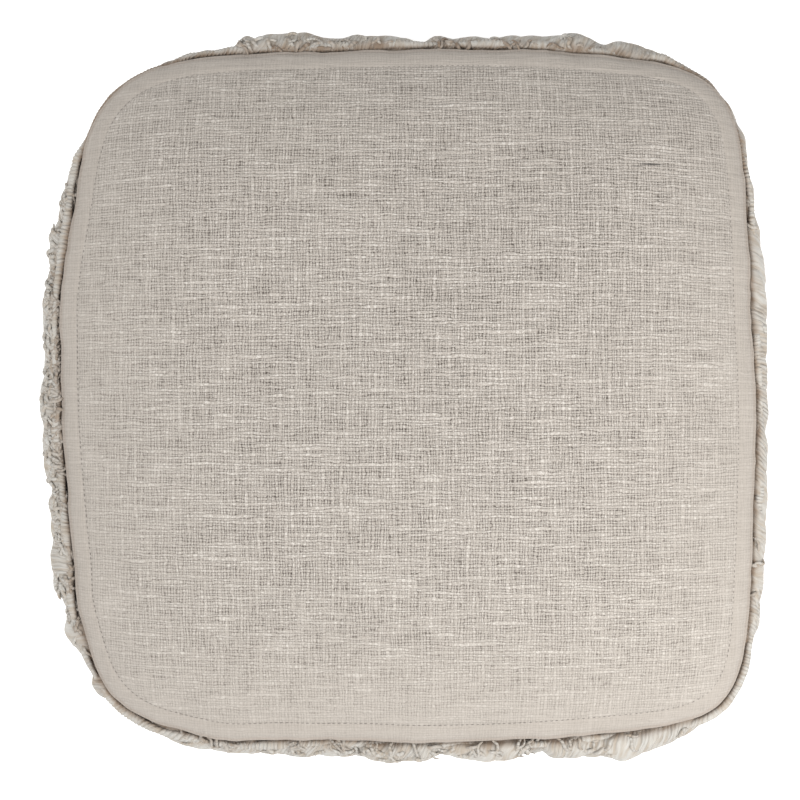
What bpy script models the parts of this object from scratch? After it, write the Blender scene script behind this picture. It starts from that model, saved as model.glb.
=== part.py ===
"""Cube pouf stool: a stuffed cube with a crowned panel of slub cotton on top, a plain
panel under it, and sides of thick-and-thin roving laid round it in rows.

Metres, +Z up. The origin is the middle of the footprint, on the floor.
"""

import math

import bmesh
import bpy
import numpy as np

# ---- whole pouf ----
HEIGHT = 0.441  # floor to the top of the crown, before its soft hollows
STATIONS = 96  # points round every ring
GAP = 0.00035  # clearance between a panel and the stuffed body under it

# ---- outline of the panels, seen from above ----
HALF_WIDTH = 0.2096  # middle of the panel to its folded edge, along X
HALF_DEPTH = 0.2110  # the same along Y
SIDE_BOW = 0.0020  # how far the middle of each side bows out
# How square each corner is, as the power of a superellipse: 2 is round, 8 is nearly square.
SQUARENESS = {"back right": 7.0, "back left": 5.7, "front left": 6.0, "front right": 7.8}
# Places where the stuffing pushes the outline out, or the sewing pulls it in:
# direction in degrees from +X, half width in degrees, size in metres.
PULLS = (
    {"at": 164.0, "reach": 10.0, "size": 0.0035},
    {"at": -146.0, "reach": 12.0, "size": -0.0035},
    {"at": -42.0, "reach": 8.0, "size": 0.0015},
    {"at": 34.0, "reach": 12.0, "size": -0.0025},
    {"at": 103.0, "reach": 20.0, "size": -0.0020},
)

# ---- panels ----
CLOTH = 0.0026  # thickness of a panel
FOLD = 0.0009  # how far the rounded fold stands past the panel's edge
EDGE_HEIGHT = 0.4055  # top face of the top panel at its edge
CORNER_DROOP = 0.011  # how much lower its corners lie
BASE_LIFT = 0.012  # how far the edge of the base panel curls up off the floor
FLAT_SHARE = 0.84  # share of the base panel that lies flat
TOP_RINGS = (0.22, 0.42, 0.60, 0.75, 0.87, 0.95, 1.0)  # shares of the way to the edge
BASE_RINGS = (0.34, FLAT_SHARE, 0.93, 1.0)
# Soft hollows in the crown: middle, radius and depth.
HOLLOWS = (
    {"x": -0.085, "y": 0.030, "radius": 0.055, "depth": 0.0028},
    {"x": -0.105, "y": -0.135, "radius": 0.060, "depth": 0.0035},
    {"x": 0.045, "y": 0.125, "radius": 0.055, "depth": 0.0022},
    {"x": 0.140, "y": -0.055, "radius": 0.050, "depth": 0.0018},
)

# ---- rows of roving on the side ----
ROWS = 16
ROW_DEPTH = 0.0095  # crest of a row to the cleft between two rows
CREST_AT = (0.25, 0.75)  # shares of a row's height where its crest lies
SWELL = 0.009  # how much further the sides stand out halfway up
LUMPS_ROUND = 31  # thick places in a row
LUMP = 0.0042  # thick place to thin place
SWAY = 0.0012  # slower in and out of a row
WANDER = 0.0016  # up and down of a cleft
# How far the crest of the top row stands past the panel's edge, at each side and corner.
PROUD = {
    "right": 0.0076, "back": 0.0086, "left": 0.0148, "front": 0.0120,
    "back right": 0.0000, "back left": -0.0010, "front left": 0.0040, "front right": 0.0040,
}
CORNER_TIGHTNESS = 9  # a higher power keeps a corner's value closer to the corner
# Places where the rows stand further out, or less far, in the same terms as PULLS.
BULGES = (
    {"at": -58.0, "reach": 7.0, "size": 0.0060},
    {"at": -128.0, "reach": 6.0, "size": 0.0020},
    {"at": -148.0, "reach": 7.0, "size": 0.0035},
    {"at": 57.0, "reach": 8.0, "size": 0.0040},
    {"at": 88.0, "reach": 10.0, "size": -0.0028},
    {"at": 110.0, "reach": 8.0, "size": 0.0022},
    {"at": 180.0, "reach": 16.0, "size": -0.0015},
)

# ---- colours: linear base colour and roughness ----
SLUB_COTTON = ((0.560, 0.500, 0.436), 0.92)
ROVING = ((0.545, 0.500, 0.430), 0.95)


def corner_blend(table, angle):
    """The smooth function of the angle that takes a table's value at each corner."""
    right_back, left_back = table["back right"], table["back left"]
    left_front, right_front = table["front left"], table["front right"]
    mean = (right_back + left_back + left_front + right_front) / 4
    to_right = (right_back + right_front - left_back - left_front) / 4
    to_back = (right_back + left_back - left_front - right_front) / 4
    twist = (right_back + left_front - left_back - right_front) / 4
    across = math.sqrt(2) * (to_right * np.cos(angle) + to_back * np.sin(angle))
    return mean + across + twist * np.sin(2 * angle)


def side_blend(table, angle):
    """The smooth function of the angle that takes a table's value at each side."""
    along_x = np.where(np.cos(angle) > 0, table["right"], table["left"])
    along_y = np.where(np.sin(angle) > 0, table["back"], table["front"])
    return along_x * np.cos(angle) ** 2 + along_y * np.sin(angle) ** 2


def cornerness(angle):
    """1 at the four corners, falling fast to 0 along the sides."""
    return np.abs(np.sin(2 * angle)) ** CORNER_TIGHTNESS


def pushes(table, angle):
    """The sum of a table's soft pushes, each a bell round its own direction."""
    total = np.zeros_like(angle)
    for push in table:
        turn = (angle - math.radians(push["at"]) + math.pi) % (2 * math.pi) - math.pi
        total += push["size"] * np.exp(-((turn / math.radians(push["reach"])) ** 2))
    return total


def outline_radius(angle):
    """Distance from the middle of a panel to its folded edge."""
    power = corner_blend(SQUARENESS, angle)
    square = np.abs(np.cos(angle) / HALF_WIDTH) ** power + np.abs(np.sin(angle) / HALF_DEPTH) ** power
    return square ** (-1 / power) + SIDE_BOW * np.cos(4 * angle) + pushes(PULLS, angle)


def even_stations():
    """Angles of points evenly spaced along the folded edge, and the unit normals there."""
    dense = np.linspace(-math.pi, math.pi, 40 * STATIONS + 1)
    edge = outline_radius(dense)[:, None] * np.column_stack((np.cos(dense), np.sin(dense)))
    along = np.concatenate(([0.0], np.cumsum(np.linalg.norm(np.diff(edge, axis=0), axis=1))))
    angle = np.interp(np.arange(STATIONS) / STATIONS * along[-1], along, dense)
    step = 1e-3
    ahead, behind = angle + step, angle - step
    run_x = outline_radius(ahead) * np.cos(ahead) - outline_radius(behind) * np.cos(behind)
    run_y = outline_radius(ahead) * np.sin(ahead) - outline_radius(behind) * np.sin(behind)
    normal = np.column_stack((run_y, -run_x))
    return angle, normal / np.linalg.norm(normal, axis=1, keepdims=True)


ANGLE, NORMAL = even_stations()
EDGE = outline_radius(ANGLE)[:, None] * np.column_stack((np.cos(ANGLE), np.sin(ANGLE)))
ROUND = np.arange(STATIONS) / STATIONS * 2 * math.pi  # how far round the edge, as an angle


def ring(share, height, out=0.0):
    """One ring: the outline shrunk to a share, pushed out along its normals, at a height."""
    flat = EDGE * share + NORMAL * np.reshape(out, (-1, 1))
    return np.column_stack((flat, np.broadcast_to(height, STATIONS)))


def top_height(share):
    """Height of the top panel's upper face, on the ring at a share of the way to its edge."""
    crown = 0.55 * (1 - share**2) + 0.45 * (1 - share**6)
    height = EDGE_HEIGHT + (HEIGHT - EDGE_HEIGHT) * crown
    height = height - CORNER_DROOP * cornerness(ANGLE) * share**6
    x, y = (EDGE * share).T
    for hollow in HOLLOWS:
        away = ((x - hollow["x"]) ** 2 + (y - hollow["y"]) ** 2) / hollow["radius"] ** 2
        height = height - hollow["depth"] * np.exp(-away)
    return height


def base_height(share):
    """Height of the base panel's lower face: flat on the floor, then curling up."""
    curl = max(0.0, share - FLAT_SHARE) / (1 - FLAT_SHARE)
    return BASE_LIFT * curl**2


def row_crest(row, turn):
    """How far a row's crest stands past its even line: thick and thin places, and a sway."""
    lumps = np.abs(np.sin(LUMPS_ROUND * ROUND / 2 + 1.9 * row + turn)) - 0.65
    sway = 0.6 * np.sin(7 * ROUND + 1.3 * row) + 0.4 * np.sin(12 * ROUND + 2.1 * row)
    return LUMP * lumps + SWAY * sway


def side_rings():
    """The rings of the side, from the first crest to the last, between the two seams."""
    low_seam = base_height(1.0) + CLOTH + GAP
    high_seam = top_height(1.0) - CLOTH - GAP
    corner = cornerness(ANGLE)
    proud = side_blend(PROUD, ANGLE) * (1 - corner) + corner_blend(PROUD, ANGLE) * corner
    proud = proud + pushes(BULGES, ANGLE)
    steps = [(row, share) for row in range(ROWS) for share in (0.0, *CREST_AT)]
    rings = []
    for row, share in steps[1:]:  # the first cleft is the base seam
        climb = (row + share) / ROWS
        out = proud - ROW_DEPTH + SWELL * math.sin(math.pi * climb) ** 2
        if share:
            out = out + ROW_DEPTH + row_crest(row, share)
        nearer_cleft = row + round(share)
        wander = WANDER * math.sin(math.pi * climb) * np.sin(3 * ROUND + 1.7 * nearer_cleft)
        rings.append(ring(1.0, low_seam + (high_seam - low_seam) * climb + wander, out))
    return rings


def material(name, finish):
    """A Principled material with a base colour and a roughness."""
    colour, roughness = finish
    made = bpy.data.materials.new(name)
    made.use_nodes = True
    shader = made.node_tree.nodes["Principled BSDF"]
    shader.inputs["Base Color"].default_value = (*colour, 1.0)
    shader.inputs["Roughness"].default_value = roughness
    shader.inputs["Metallic"].default_value = 0.0
    return made


def bridged(name, rings, finish, parent):
    """A closed body: rings bridged in order, and each end closed by a fan round its middle."""
    mesh = bmesh.new()
    loops = []
    for points in rings:
        corners = [mesh.verts.new(point) for point in points]
        loops.append([mesh.edges.new((a, b)) for a, b in zip(corners, corners[1:] + corners[:1])])
    for low, high in zip(loops, loops[1:]):
        bmesh.ops.bridge_loops(mesh, edges=low + high)
    for end in (loops[0], loops[-1]):
        cap = bmesh.ops.contextual_create(mesh, geom=end)["faces"]
        bmesh.ops.poke(mesh, faces=cap)
    bmesh.ops.triangulate(mesh, faces=mesh.faces, quad_method="SHORT_EDGE")
    bmesh.ops.recalc_face_normals(mesh, faces=mesh.faces)
    data = bpy.data.meshes.new(name)
    mesh.to_mesh(data)
    mesh.free()
    data.shade_smooth()
    data.set_sharp_from_angle(angle=math.radians(50))
    data.materials.append(material(f"{name}_cloth", finish))
    body = bpy.data.objects.new(name, data)
    bpy.context.collection.objects.link(body)
    body.parent = parent
    return body


def panel_rings(shares, lower, upper):
    """The rings of a sheet: out along its lower face, round the fold, back along its upper."""
    below = [ring(share, lower(share)) for share in shares]
    above = [ring(share, upper(share)) for share in reversed(shares)]
    fold = ring(1.0, (lower(1.0) + upper(1.0)) / 2, FOLD)
    return [*below, fold, *above]


def top_panel(parent):
    """The crowned top panel, its edge lying over the top row of roving."""
    rings = panel_rings(TOP_RINGS, lambda share: top_height(share) - CLOTH, top_height)
    return bridged("top_panel", rings, SLUB_COTTON, parent)


def base_panel(parent):
    """The panel that the pouf stands on."""
    rings = panel_rings(BASE_RINGS, base_height, lambda share: base_height(share) + CLOTH)
    return bridged("base_panel", rings, SLUB_COTTON, parent)


def side_band(parent):
    """The stuffed body: its two ends under the panels, and the rows of roving on its sides."""
    under = [ring(share, base_height(share) + CLOTH + GAP) for share in BASE_RINGS]
    over = [ring(share, top_height(share) - CLOTH - GAP) for share in reversed(TOP_RINGS)]
    return bridged("side_band", [*under, *side_rings(), *over], ROVING, parent)


def middle_of_footprint(bodies):
    """The middle of the box round the bodies, along X and along Y."""
    points = np.array([vertex.co for body in bodies for vertex in body.data.vertices])
    return (points.min(axis=0) + points.max(axis=0))[:2] / 2


def main():
    """Build the pouf and stand it on the origin."""
    for old in list(bpy.data.objects):
        bpy.data.objects.remove(old)
    pouf = bpy.data.objects.new("pouf", None)
    bpy.context.collection.objects.link(pouf)
    bodies = [base_panel(pouf), side_band(pouf), top_panel(pouf)]
    x, y = middle_of_footprint(bodies)
    pouf.location = (-x, -y, 0.0)


main()
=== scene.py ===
"""Looks of a cube pouf stool: a crowned panel of slub cotton over a stuffed body whose sides
carry sixteen rows of thick-and-thin roving.

Metres, +Z up, +X to the right and +Y to the back of the top panel. The outline, the crown and
the rows follow the same formulas as the solids, so every piece lies where its solid lies.
"""

import logging
import math
from dataclasses import dataclass, replace
from enum import Enum
from typing import Callable, Sequence

import bpy
import numpy as np
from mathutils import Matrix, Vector


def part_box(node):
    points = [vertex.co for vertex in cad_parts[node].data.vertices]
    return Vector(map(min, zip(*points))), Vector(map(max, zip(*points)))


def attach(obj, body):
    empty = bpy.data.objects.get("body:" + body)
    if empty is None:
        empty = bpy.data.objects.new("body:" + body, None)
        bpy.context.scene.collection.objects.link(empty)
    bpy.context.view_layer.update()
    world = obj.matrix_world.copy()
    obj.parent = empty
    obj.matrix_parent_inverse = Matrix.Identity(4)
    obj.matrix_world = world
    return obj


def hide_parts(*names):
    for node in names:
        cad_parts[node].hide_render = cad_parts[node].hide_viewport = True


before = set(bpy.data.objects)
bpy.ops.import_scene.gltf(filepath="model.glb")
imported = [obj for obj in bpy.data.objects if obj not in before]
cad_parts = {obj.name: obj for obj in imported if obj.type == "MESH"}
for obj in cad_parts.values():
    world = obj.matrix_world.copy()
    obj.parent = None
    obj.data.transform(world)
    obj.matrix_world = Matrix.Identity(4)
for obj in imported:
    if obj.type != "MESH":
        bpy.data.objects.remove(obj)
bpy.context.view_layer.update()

Array = np.ndarray
MM = 0.001
TURN = 2 * math.pi
NOISE_PERIOD = 64  # units before soft noise repeats, unless it is given another period
LOG = logging.getLogger("pouf")


# ---------------------------------------------------------------- numbers and meshes


def soft_noise(x: Array, y: Array, seed: int, wrap: int = NOISE_PERIOD) -> Array:
    """Smooth noise from -1 to 1: a random value at each pair of whole numbers, blended between
    them with the curve 3t^2 - 2t^3 in both directions.

    Args:
        x: First coordinate. The pattern repeats every `wrap` units along it.
        y: Second coordinate. The pattern repeats every NOISE_PERIOD units along it.
        seed: Seed of the random values.
        wrap: Units before the pattern repeats along x.

    Returns:
        The noise, in the shape of x and y together.
    """
    table = np.random.default_rng(seed).uniform(-1, 1, (wrap, NOISE_PERIOD))
    x, y = np.broadcast_arrays(x, y)
    column, row = np.floor(x).astype(int), np.floor(y).astype(int)
    across, up = x - column, y - row
    across, up = across**2 * (3 - 2 * across), up**2 * (3 - 2 * up)
    left, right = column % wrap, (column + 1) % wrap
    low, high = row % NOISE_PERIOD, (row + 1) % NOISE_PERIOD
    bottom = table[left, low] * (1 - across) + table[right, low] * across
    top = table[left, high] * (1 - across) + table[right, high] * across
    return bottom * (1 - up) + top * up


def bell(distance: Array, width: float) -> Array:
    """A bell curve: 1 at no distance, falling as exp(-(distance / width)^2)."""
    return np.exp(-((distance / width) ** 2))


def add_mesh(
    name: str,
    points: Array,
    faces: Sequence[Array],
    corner_uvs: Sequence[Array] | None = None,
    marks: dict[str, Array] | None = None,
) -> bpy.types.Object:
    """A smooth-shaded mesh object made from whole arrays.

    Args:
        name: The object's name.
        points: Vertices, as rows of x, y and z.
        faces: Arrays of vertex numbers, one row a face; each array has its own corner count.
        corner_uvs: For each array of faces, the UV pair of every corner.
        marks: Named float values, one for each vertex.

    Returns:
        The object, linked into the scene.
    """
    mesh = bpy.data.meshes.new(name)
    counts = np.concatenate([np.full(len(group), group.shape[1]) for group in faces])
    starts = np.concatenate(([0], np.cumsum(counts)[:-1]))
    mesh.vertices.add(len(points))
    mesh.vertices.foreach_set("co", np.ascontiguousarray(points, np.float32).ravel())
    mesh.loops.add(int(counts.sum()))
    corners = np.concatenate([group.ravel() for group in faces])
    mesh.loops.foreach_set("vertex_index", corners.astype(np.int32))
    mesh.polygons.add(len(counts))
    mesh.polygons.foreach_set("loop_start", starts.astype(np.int32))
    mesh.update(calc_edges=True)
    mesh.validate()
    if corner_uvs is not None:
        pairs = np.concatenate([uv.reshape(-1, 2) for uv in corner_uvs])
        layer = mesh.uv_layers.new(name="cloth")
        layer.uv.foreach_set("vector", pairs.astype(np.float32).ravel())
    for mark, values in (marks or {}).items():
        layer = mesh.attributes.new(mark, "FLOAT", "POINT")
        layer.data.foreach_set("value", np.ascontiguousarray(values, np.float32).ravel())
    mesh.shade_smooth()
    made = bpy.data.objects.new(name, mesh)
    bpy.context.collection.objects.link(made)
    return made


def grid_faces(rows: int, columns: int, wrap_rows: bool, wrap_columns: bool) -> Array:
    """Quads of a grid of vertices numbered row by row.

    Args:
        rows: Rows of vertices.
        columns: Vertices in a row.
        wrap_rows: Whether the last row joins the first.
        wrap_columns: Whether the last vertex of a row joins its first.

    Returns:
        Four vertex numbers a face, turning from a row to the next and then along it.
    """
    i = np.arange(rows if wrap_rows else rows - 1)[:, None]
    j = np.arange(columns if wrap_columns else columns - 1)[None, :]
    next_i, next_j = (i + 1) % rows, (j + 1) % columns
    here, beyond = i * columns, next_i * columns
    corners = (here + j, beyond + j, beyond + next_j, here + next_j)
    return np.stack(np.broadcast_arrays(*corners), axis=-1).reshape(-1, 4)


def grid_uvs(u: Array, v: Array) -> Array:
    """UV pairs for the corners of `grid_faces`, from u for each line of rows and v for each line
    of columns; a grid that wraps has one more line than it has vertices, so its seam is clean."""
    u, v = np.broadcast_arrays(u[:, None], v[None, :])
    at = np.stack((u, v), axis=-1)
    return np.stack((at[:-1, :-1], at[1:, :-1], at[1:, 1:], at[:-1, 1:]), axis=-2).reshape(-1, 4, 2)


# ---------------------------------------------------------------- shape of the pouf


@dataclass(frozen=True)
class Corners:
    """One value for each corner of the pouf."""

    back_right: float
    back_left: float
    front_left: float
    front_right: float

    def blend(self, angle: Array) -> Array:
        """The smooth function of the angle that takes each corner's value at that corner: a
        mean, plus first harmonics towards the right and the back, plus sin(2 angle).

        Args:
            angle: Direction from the middle of the panel, in radians from +X.

        Returns:
            The blended value for each angle.
        """
        mean = (self.back_right + self.back_left + self.front_left + self.front_right) / 4
        to_right = (self.back_right + self.front_right - self.back_left - self.front_left) / 4
        to_back = (self.back_right + self.back_left - self.front_left - self.front_right) / 4
        twist = (self.back_right + self.front_left - self.back_left - self.front_right) / 4
        across = math.sqrt(2) * (to_right * np.cos(angle) + to_back * np.sin(angle))
        return mean + across + twist * np.sin(2 * angle)


@dataclass(frozen=True)
class Sides:
    """One value for each side of the pouf."""

    right: float
    back: float
    left: float
    front: float

    def blend(self, angle: Array) -> Array:
        """Each side's value at that side, weighted with cos^2 and sin^2 of the angle."""
        along_x = np.where(np.cos(angle) > 0, self.right, self.left)
        along_y = np.where(np.sin(angle) > 0, self.back, self.front)
        return along_x * np.cos(angle) ** 2 + along_y * np.sin(angle) ** 2


@dataclass(frozen=True)
class Push:
    """A soft push in or out, as a bell round its own direction."""

    at: float  # degrees from +X
    reach: float  # half width, degrees
    size: float  # metres

    def along(self, angle: Array) -> Array:
        """How far the push moves each direction."""
        turn = (angle - math.radians(self.at) + math.pi) % TURN - math.pi
        return self.size * bell(turn, math.radians(self.reach))


def pushes(table: Sequence[Push], angle: Array) -> Array:
    """The sum of the pushes of a table."""
    return sum(push.along(angle) for push in table)


def notch(at: float, depth: float, reach: float = 1.6) -> Push:
    """A narrow place where a row is drawn in between two thick places.

    Args:
        at: Its direction, degrees from +X.
        depth: How far it is drawn in, millimetres.
        reach: Its half width, degrees.

    Returns:
        The push inwards.
    """
    return Push(at, reach, -depth * MM)


@dataclass(frozen=True)
class Stations:
    """Points evenly spaced along the folded edge, with what every row of the side needs."""

    angle: Array  # direction from the middle, radians
    edge: Array  # x and y on the edge
    normal: Array  # unit normal, pointing out
    length: float  # of the whole edge, metres

    @property
    def count(self) -> int:
        """How many stations there are."""
        return len(self.angle)

    @property
    def share(self) -> Array:
        """How far round the edge each station is, from 0 to 1."""
        return np.arange(self.count) / self.count

    def out(self, distance: Array) -> Array:
        """The edge pushed out along its normals by a distance for each station."""
        return self.edge + self.normal * np.reshape(distance, (-1, 1))

    def noise(self, features: int, seed: int, lane: float = 0.0) -> Array:
        """Soft noise round the edge, with so many features in all; each lane has its own."""
        return soft_noise(self.share * features, np.full(self.count, lane), seed, features)


@dataclass(frozen=True)
class Outline:
    """The folded edge of the panels, seen from above: a superellipse whose power varies from
    corner to corner, with sides that bow out and a few soft pushes."""

    half_width: float = 0.2096
    half_depth: float = 0.2110
    side_bow: float = 0.0020
    squareness: Corners = Corners(7.0, 5.7, 6.0, 7.8)
    pulls: tuple[Push, ...] = (
        Push(at=164.0, reach=10.0, size=0.0035),
        Push(at=-146.0, reach=12.0, size=-0.0035),
        Push(at=-42.0, reach=8.0, size=0.0015),
        Push(at=34.0, reach=12.0, size=-0.0025),
        Push(at=103.0, reach=20.0, size=-0.0020),
    )

    def radius(self, angle: Array) -> Array:
        """Distance from the middle to the edge: (|cos/a|^n + |sin/b|^n)^(-1/n), plus the bow
        times cos(4 angle), plus the pulls.

        Args:
            angle: Direction from the middle, radians.

        Returns:
            The distance for each angle, in metres.
        """
        power = self.squareness.blend(angle)
        square = np.abs(np.cos(angle) / self.half_width) ** power
        square = square + np.abs(np.sin(angle) / self.half_depth) ** power
        bowed = square ** (-1 / power) + self.side_bow * np.cos(4 * angle)
        return bowed + pushes(self.pulls, angle)

    def point(self, angle: Array) -> Array:
        """x and y of the edge in each direction."""
        return self.radius(angle)[..., None] * np.stack((np.cos(angle), np.sin(angle)), axis=-1)

    def normal(self, angle: Array) -> Array:
        """Unit normal of the edge in each direction: the chord across it, turned a quarter."""
        chord = self.point(angle + 1e-3) - self.point(angle - 1e-3)
        turned = np.stack((chord[..., 1], -chord[..., 0]), axis=-1)
        return turned / np.linalg.norm(turned, axis=-1, keepdims=True)

    def stations(self, count: int) -> Stations:
        """Evenly spaced points along the edge.

        Args:
            count: How many.

        Returns:
            The stations, in order from -X round through -Y.
        """
        dense = np.linspace(-math.pi, math.pi, 9601)
        steps = np.linalg.norm(np.diff(self.point(dense), axis=0), axis=1)
        along = np.concatenate(([0.0], np.cumsum(steps)))
        angle = np.interp(np.arange(count) / count * along[-1], along, dense)
        return Stations(angle, self.point(angle), self.normal(angle), along[-1])


@dataclass(frozen=True)
class Hollow:
    """A soft hollow (or, with a negative depth, a swelling) in the crown: a bell that may be
    longer one way than the other."""

    x: float
    y: float
    radius: float
    depth: float
    stretch: float = 1.0  # length along Y over width along X

    def at(self, x: Array, y: Array) -> Array:
        """How far it lowers the crown at each place."""
        away = ((x - self.x) ** 2 + ((y - self.y) / self.stretch) ** 2) / self.radius**2
        return self.depth * np.exp(-away)


@dataclass(frozen=True)
class Form:
    """The stuffed form that all pieces share: outline, crown, base and the two seams."""

    outline: Outline = Outline()
    height: float = 0.441
    edge_height: float = 0.4055
    corner_droop: float = 0.011
    corner_tightness: int = 9
    base_lift: float = 0.012
    flat_share: float = 0.84  # of the base panel, as far as it lies flat
    cloth: float = 0.0026  # thickness of a panel's solid
    gap: float = 0.00035  # between it and the body
    hollows: tuple[Hollow, ...] = (
        Hollow(-0.085, 0.030, 0.055, 0.0028),
        Hollow(-0.105, -0.135, 0.060, 0.0035),
        Hollow(0.045, 0.125, 0.055, 0.0022),
        Hollow(0.140, -0.055, 0.050, 0.0018),
    )
    waves: tuple[Push, ...] = (
        Push(180.0, 13.0, 0.0024),
        Push(-148.0, 4.0, 0.0020),
        Push(-118.0, 5.0, 0.0026),
        Push(-98.0, 6.0, -0.0010),
        Push(-54.0, 12.0, -0.0028),
        Push(14.0, 13.0, -0.0022),
        Push(57.0, 8.0, -0.0015),
        Push(148.0, 8.0, -0.0018),
    )

    def fold(self, angle: Array) -> Array:
        """How far the top panel's fold stands past the edge of its solid: its own waves."""
        return pushes(self.waves, angle)

    def cornerness(self, angle: Array) -> Array:
        """1 at the four corners, falling fast to 0 along the sides: |sin(2 angle)|^9."""
        return np.abs(np.sin(2 * angle)) ** self.corner_tightness

    def top(self, share: Array, angle: Array) -> Array:
        """Height of the top panel's upper face: a crown of 0.55 (1 - share^2) + 0.45
        (1 - share^6), less the droop of the corners and the soft hollows.

        Args:
            share: Share of the way from the middle to the edge, 0 to 1.
            angle: Direction from the middle, radians.

        Returns:
            The height above the floor, in metres.
        """
        crown = 0.55 * (1 - share**2) + 0.45 * (1 - share**6)
        height = self.edge_height + (self.height - self.edge_height) * crown
        height = height - self.corner_droop * self.cornerness(angle) * share**6
        x = self.outline.radius(angle) * share * np.cos(angle)
        y = self.outline.radius(angle) * share * np.sin(angle)
        return height - sum(hollow.at(x, y) for hollow in self.hollows)

    def base(self, share: Array) -> Array:
        """Height of the base panel's lower face: flat on the floor, then curling up."""
        curl = np.maximum(0.0, share - self.flat_share) / (1 - self.flat_share)
        return self.base_lift * curl**2

    def seams(self, angle: Array) -> tuple[Array, float]:
        """Heights of the top and the base seam of the side, in each direction."""
        high = self.top(1.0, angle) - self.cloth - self.gap
        return high, float(self.base(np.array(1.0))) + self.cloth + self.gap


def place_of(form: Form) -> Array:
    """Where the middle of the outline lies in the frame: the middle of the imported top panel's
    box, less the middle of the outline's own box."""
    low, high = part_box("top_panel")
    ring = form.outline.point(np.linspace(0, TURN, 2000))
    middle = (ring.min(axis=0) + ring.max(axis=0)) / 2
    return np.array([(low.x + high.x) / 2 - middle[0], (low.y + high.y) / 2 - middle[1], 0.0])


# ---------------------------------------------------------------- shader maths


class Wire:
    """A value that varies over a surface: one shader socket, with Python's arithmetic."""

    def __init__(self, paint: "Paint", socket: bpy.types.NodeSocket) -> None:
        """Holds a socket of a paint's node tree."""
        self.paint = paint
        self.socket = socket

    def math(self, operation: str, *others: "Wire | float") -> "Wire":
        """A Math node on this value and others."""
        inputs = dict(enumerate((self, *others)))
        return self.paint.wire("ShaderNodeMath", {"operation": operation}, inputs)

    def __add__(self, other: "Wire | float") -> "Wire":
        """Sum."""
        return self.math("ADD", other)

    def __sub__(self, other: "Wire | float") -> "Wire":
        """Difference."""
        return self.math("SUBTRACT", other)

    def __rsub__(self, other: float) -> "Wire":
        """Difference from a number."""
        return (self * -1.0) + other

    def __mul__(self, other: "Wire | float") -> "Wire":
        """Product."""
        return self.math("MULTIPLY", other)

    def __truediv__(self, other: "Wire | float") -> "Wire":
        """Quotient."""
        return self.math("DIVIDE", other)

    def __pow__(self, power: float) -> "Wire":
        """Power."""
        return self.math("POWER", power)

    __radd__ = __add__
    __rmul__ = __mul__

    def clamp(self) -> "Wire":
        """The value kept between 0 and 1."""
        return self.math("MAXIMUM", 0.0).math("MINIMUM", 1.0)

    def parts(self) -> tuple["Wire", "Wire", "Wire"]:
        """The three numbers of a vector or a colour."""
        node = self.paint.node("ShaderNodeSeparateXYZ", {}, {0: self})
        return tuple(Wire(self.paint, socket) for socket in node.outputs)

    def step(self, low: float, high: float) -> "Wire":
        """0 below low, 1 above high, and a smooth rise between them."""
        inputs = {"Value": self, "From Min": low, "From Max": high}
        settings = {"interpolation_type": "SMOOTHSTEP", "clamp": True}
        return self.paint.wire("ShaderNodeMapRange", settings, inputs)


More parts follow.
